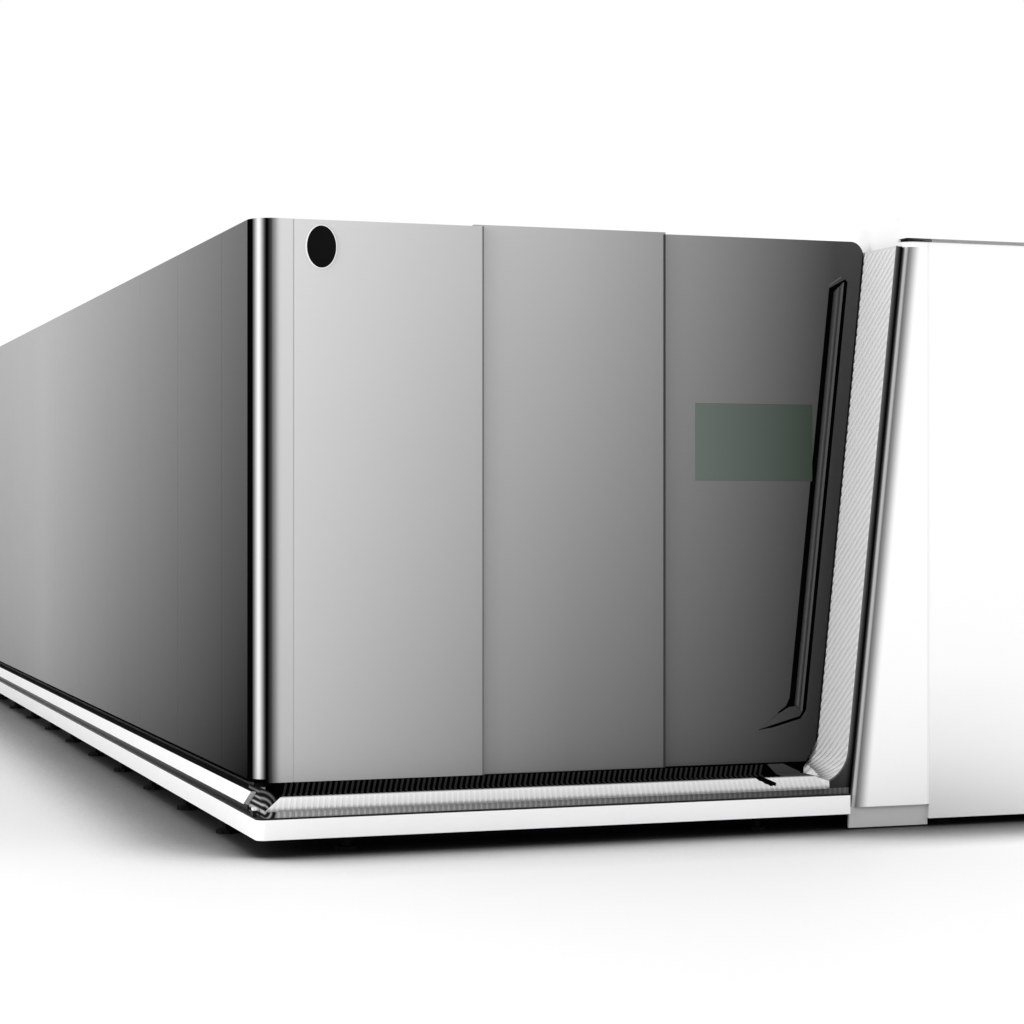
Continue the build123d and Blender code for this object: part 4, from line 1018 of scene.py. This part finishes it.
def buildPlates():
    depth = plateDepth
    for name, material, slotName in (
        ("blade", leafPaint, "silver_paint"), ("skirt", leafPaint, "silver_paint"),
        ("line", blackPaint, "black_paint"), ("lip", lipGrey, "silver_paint"),
    ):
        outline = [(x, leafY - depth["stand"], z) for x, z in leafPlates[name]]
        addFlat("recess" + name.capitalize(), outline, (0, depth["recess"], 0), material, "door_front")
    face = low("door_guide")[1]
    outline = [(x, face - depth["stand"], z) for x, z in sillPlates["guideFace"]]
    addFlat("guideEndFace", outline, (0, depth["stand"], 0), plateGrey, "machine")
    top = high("sill_tread")[2]
    outline = [(x, y, top) for x, y in sillPlates["treadEnd"]]
    addFlat("treadEndPlate", outline, (0, 0, depth["treadEnd"]), plateGrey, "machine")
    noseLow, noseHigh = low("sill_nose"), high("sill_nose")
    edge = noseLow[2] + treadRibs["noseEdge"]
    slope = (noseHigh[2] - edge) / (noseHigh[1] - treadRibs["noseBack"] - noseLow[1])
    outline = [(x, y, edge + (y - noseLow[1]) * slope) for x, y in sillPlates["tongue"]]
    addFlat("treadTongue", outline, (0, 0, depth["tongue"]), blackRubber, "machine")
    outline = [(noseHigh[0] - 0.002, y, z) for y, z in sillPlates["cheek"]]
    addFlat("toeCheek", outline, (depth["cheek"], 0, 0), nosePaint, "machine")


buildPlates()

# rubber edges of the sliding panels, their greys set to the painted shade of the gaps between the panels, the seam
# beside the corner panel and the skirting under the pillar, whose grey stands for the soft shadow on the floor there
# each panel's strip has a width and a screen level
edgeSeals = {"fixed": (0.006, 104), "middle": (0.009, 58), "stand": 0.0012, "seamInset": 0.0008, "seamDepth": 0.004}
skirting = {"gap": 0.002, "front": 0.014, "back": 0.026, "foot": 0.006}
infill = {"depth": 0.0015, "foot": 0.035, "top": 0.012}


def addStrip(name, lowest, highest, material, body):
    shape = bmesh.new()
    addBar(shape, lowest, highest)
    newPiece(name, shape, material, body, smooth=0)


def buildEdges():
    for name, body, label in (("fixed_door_panel", "machine", "fixed"), ("door_leaf_middle", "door_middle", "middle")):
        lowest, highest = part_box(name)
        # each strip's grey is rubber and painted shade of the gap at the panel's edge
        width, level = edgeSeals[label]
        rubber = plainCoat(label + "EdgeSealAndGapShade", level, 0.8, 0.05)
        first = (highest[0] - width, lowest[1] - edgeSeals["stand"], doorFoot)
        last = (highest[0] - 0.0005, lowest[1] + 0.001, doorTop)
        addStrip(label + "EdgeSeal", first, last, rubber, body)
    inset = frontY + edgeSeals["seamInset"]
    first = (high("corner_panel")[0] - 0.001, inset, doorFoot + 0.001)
    last = (low("fixed_door_panel")[0] + 0.001, inset + edgeSeals["seamDepth"], doorTop - 0.001)
    addStrip("cornerSeamSeal", first, last, seamRubber, "machine")
    # skirting whose grey stands for the soft shadow on the floor under the pillar
    first = (high("base_rail_front")[0] + skirting["gap"], sillY + skirting["front"], skirting["foot"])
    last = (high("pillar")[0], sillY + skirting["back"], low("pillar")[2])
    addStrip("pillarSkirting", first, last, plinthShadowGrey, "machine")
    # closes the gap between the hood's left side and the door header
    hoodX = low("hood")[0]
    first = (hoodX - infill["depth"], high("pillar")[1], doorTop - infill["foot"])
    last = (hoodX, low("roof_panel_front")[1], doorTop + infill["top"])
    addStrip("headerInfill", first, last, whitePaint, "machine")


buildEdges()

# pull handle on a plate, for the cabin door and the rear doors, and the louvres low in the cabin door
doorPull = {
    "wide": 0.044, "tall": 0.24, "thick": 0.003, "grip": 0.022, "reach": 0.032, "half": 0.085, "bar": 0.011,
    "bend": 0.01, "innerBend": 0.008, "height": 1.15, "inset": 0.08, "let": 0.0005,
}
louvres = {
    "count": 9, "pitch": 0.04, "foot": 0.38, "margin": 0.2,
    "section": ((-0.0005, 0), (0.008, 0.002), (0.008, 0.006), (-0.0005, 0.022)),
}


def outerFace(name, axis):
    # place of the largest flat face that looks out along an axis
    faces = [face for face in nodes[name].data.polygons if face.normal[axis] > 0.99]
    return max(faces, key=lambda face: face.area).center[axis]


def beside(axis, face, along, out, z):
    # a point out from a face, which looks along x or along y
    return (face + out, along, z) if axis == 0 else (along, face + out, z)


def buildDoorFittings():
    data = doorPull
    for name, axis, side in (("cabin_door", 0, 1), ("rear_door_left", 1, 1), ("rear_door_right", 1, -1)):
        face = outerFace(name, axis)
        edge = high(name)[1 - axis] if side > 0 else low(name)[1 - axis]
        along = edge - side * data["inset"]
        middle = data["height"]
        shape = bmesh.new()
        wide, tall = data["wide"] / 2, data["tall"] / 2
        first = beside(axis, face, along - wide, -data["let"], middle - tall)
        addBar(shape, first, beside(axis, face, along + wide, data["thick"], middle + tall))
        half, bar, reach, bend = data["half"], data["bar"], data["reach"], data["bend"]
        inner = half - bar - data["innerBend"]
        section = [
            (0, -half), (reach, bend - half), (reach, half - bend), (0, half),
            (0, half - bar), (reach - bar, inner), (reach - bar, -inner), (0, bar - half),
        ]
        outline = [
            beside(axis, face, along - data["grip"] / 2, data["thick"] + out, middle + rise) for out, rise in section
        ]
        addPlate(shape, outline, beside(axis, 0, data["grip"], 0, 0))
        newPiece(name + "_pull", shape, blackPlastic, name, bevel=0.002)
    face = outerFace("cabin_door", 0)
    first, last = low("cabin_door")[1] + louvres["margin"], high("cabin_door")[1] - louvres["margin"]
    shape = bmesh.new()
    for number in range(louvres["count"]):
        z = louvres["foot"] + number * louvres["pitch"]
        outline = [(face + out, first, z + rise) for out, rise in louvres["section"]]
        addPlate(shape, outline, (0, last - first, 0))
    newPiece("cabinLouvres", shape, whitePaint, "cabin_door", bevel=0.0015)


buildDoorFittings()
print("pieces built")

cameraPlace = {
    "location": (-3.7925, -12.4875, 1.20), "turn": -19.07, "lens": 84.41, "sensor": 36, "shiftY": -0.0024,
    "clipEnd": 200,
}
lamps = {
    "keySoftbox": {"place": (-11.0, -6.5, 4.5), "aim": (-0.8, -3.0, 1.2), "power": 470, "size": 5.0},
    "fillSoftbox": {"place": (7.0, -9.0, 4.5), "aim": (1.0, -3.0, 1.2), "power": 125, "size": 6.0},
}
worldStrength = 0.9
# soft contact shadow: stops of open sky and tone, darker where the machine covers the floor's sky
floorShade = {
    "half": 60, "distance": 0.58, "samples": 12,
    "stops": [
        (0.0, 0.015), (0.45, 0.03), (0.56, 0.07), (0.66, 0.14), (0.76, 0.28), (0.86, 0.54), (0.95, 0.86), (1.0, 0.97),
    ],
}


def buildFloor():
    shape = bmesh.new()
    bmesh.ops.create_grid(shape, x_segments=2, y_segments=2, size=floorShade["half"])
    floorMaterial, tree, shader = newMaterial("paleFloor", 0.6, specular=0.2)
    cover = tree.nodes.new("ShaderNodeAmbientOcclusion")
    cover.samples = floorShade["samples"]
    cover.inputs["Distance"].default_value = floorShade["distance"]
    tone = rampNode(tree, cover.outputs["AO"], floorShade["stops"])
    tree.links.new(tone, shader.inputs["Base Color"])
    floor = newPiece("studioFloor", shape, floorMaterial, None, smooth=0, outward=False)


def buildWorld():
    # even light, and a plain white behind the object and in its reflections
    world = bpy.data.worlds.new("studioWorld")
    bpy.context.scene.world = world
    world.use_nodes = True
    tree = world.node_tree
    tree.nodes.clear()
    path = tree.nodes.new("ShaderNodeLightPath")
    light = tree.nodes.new("ShaderNodeBackground")
    backdrop = tree.nodes.new("ShaderNodeBackground")
    for background, strength in ((light, worldStrength), (backdrop, 1.0)):
        background.inputs["Color"].default_value = (1, 1, 1, 1)
        background.inputs["Strength"].default_value = strength
    mix = tree.nodes.new("ShaderNodeMixShader")
    out = tree.nodes.new("ShaderNodeOutputWorld")
    seen = mathNode(tree, "MAXIMUM", path.outputs["Is Camera Ray"], path.outputs["Is Transmission Ray"])
    seen = mathNode(tree, "MAXIMUM", seen, path.outputs["Is Glossy Ray"])
    linkAll(tree, [
        (seen, mix.inputs[0]), (light.outputs[0], mix.inputs[1]), (backdrop.outputs[0], mix.inputs[2]),
        (mix.outputs[0], out.inputs["Surface"]),
    ])


def addHolder(name, data, place, turn):
    holder = bpy.data.objects.new(name, data)
    holder.location = place
    holder.rotation_euler = turn
    bpy.context.scene.collection.objects.link(holder)
    return holder


def buildLamps():
    for name, data in lamps.items():
        lamp = bpy.data.lights.new(name, "AREA")
        lamp.energy = data["power"]
        lamp.size = data["size"]
        aim = Vector(data["aim"]) - Vector(data["place"])
        addHolder(name, lamp, data["place"], aim.to_track_quat("-Z", "Y").to_euler())


def buildCamera():
    eye = bpy.data.cameras.new("photoCamera")
    eye.lens = cameraPlace["lens"]
    eye.sensor_width = cameraPlace["sensor"]
    eye.sensor_fit = "HORIZONTAL"
    eye.shift_y = cameraPlace["shiftY"]
    eye.clip_end = cameraPlace["clipEnd"]
    turn = (math.radians(90), 0, math.radians(cameraPlace["turn"]))
    bpy.context.scene.camera = addHolder("photoCamera", eye, cameraPlace["location"], turn)
    bpy.context.scene.view_settings.view_transform = "Standard"


buildFloor()
buildWorld()
buildLamps()
buildCamera()
print("studio built")
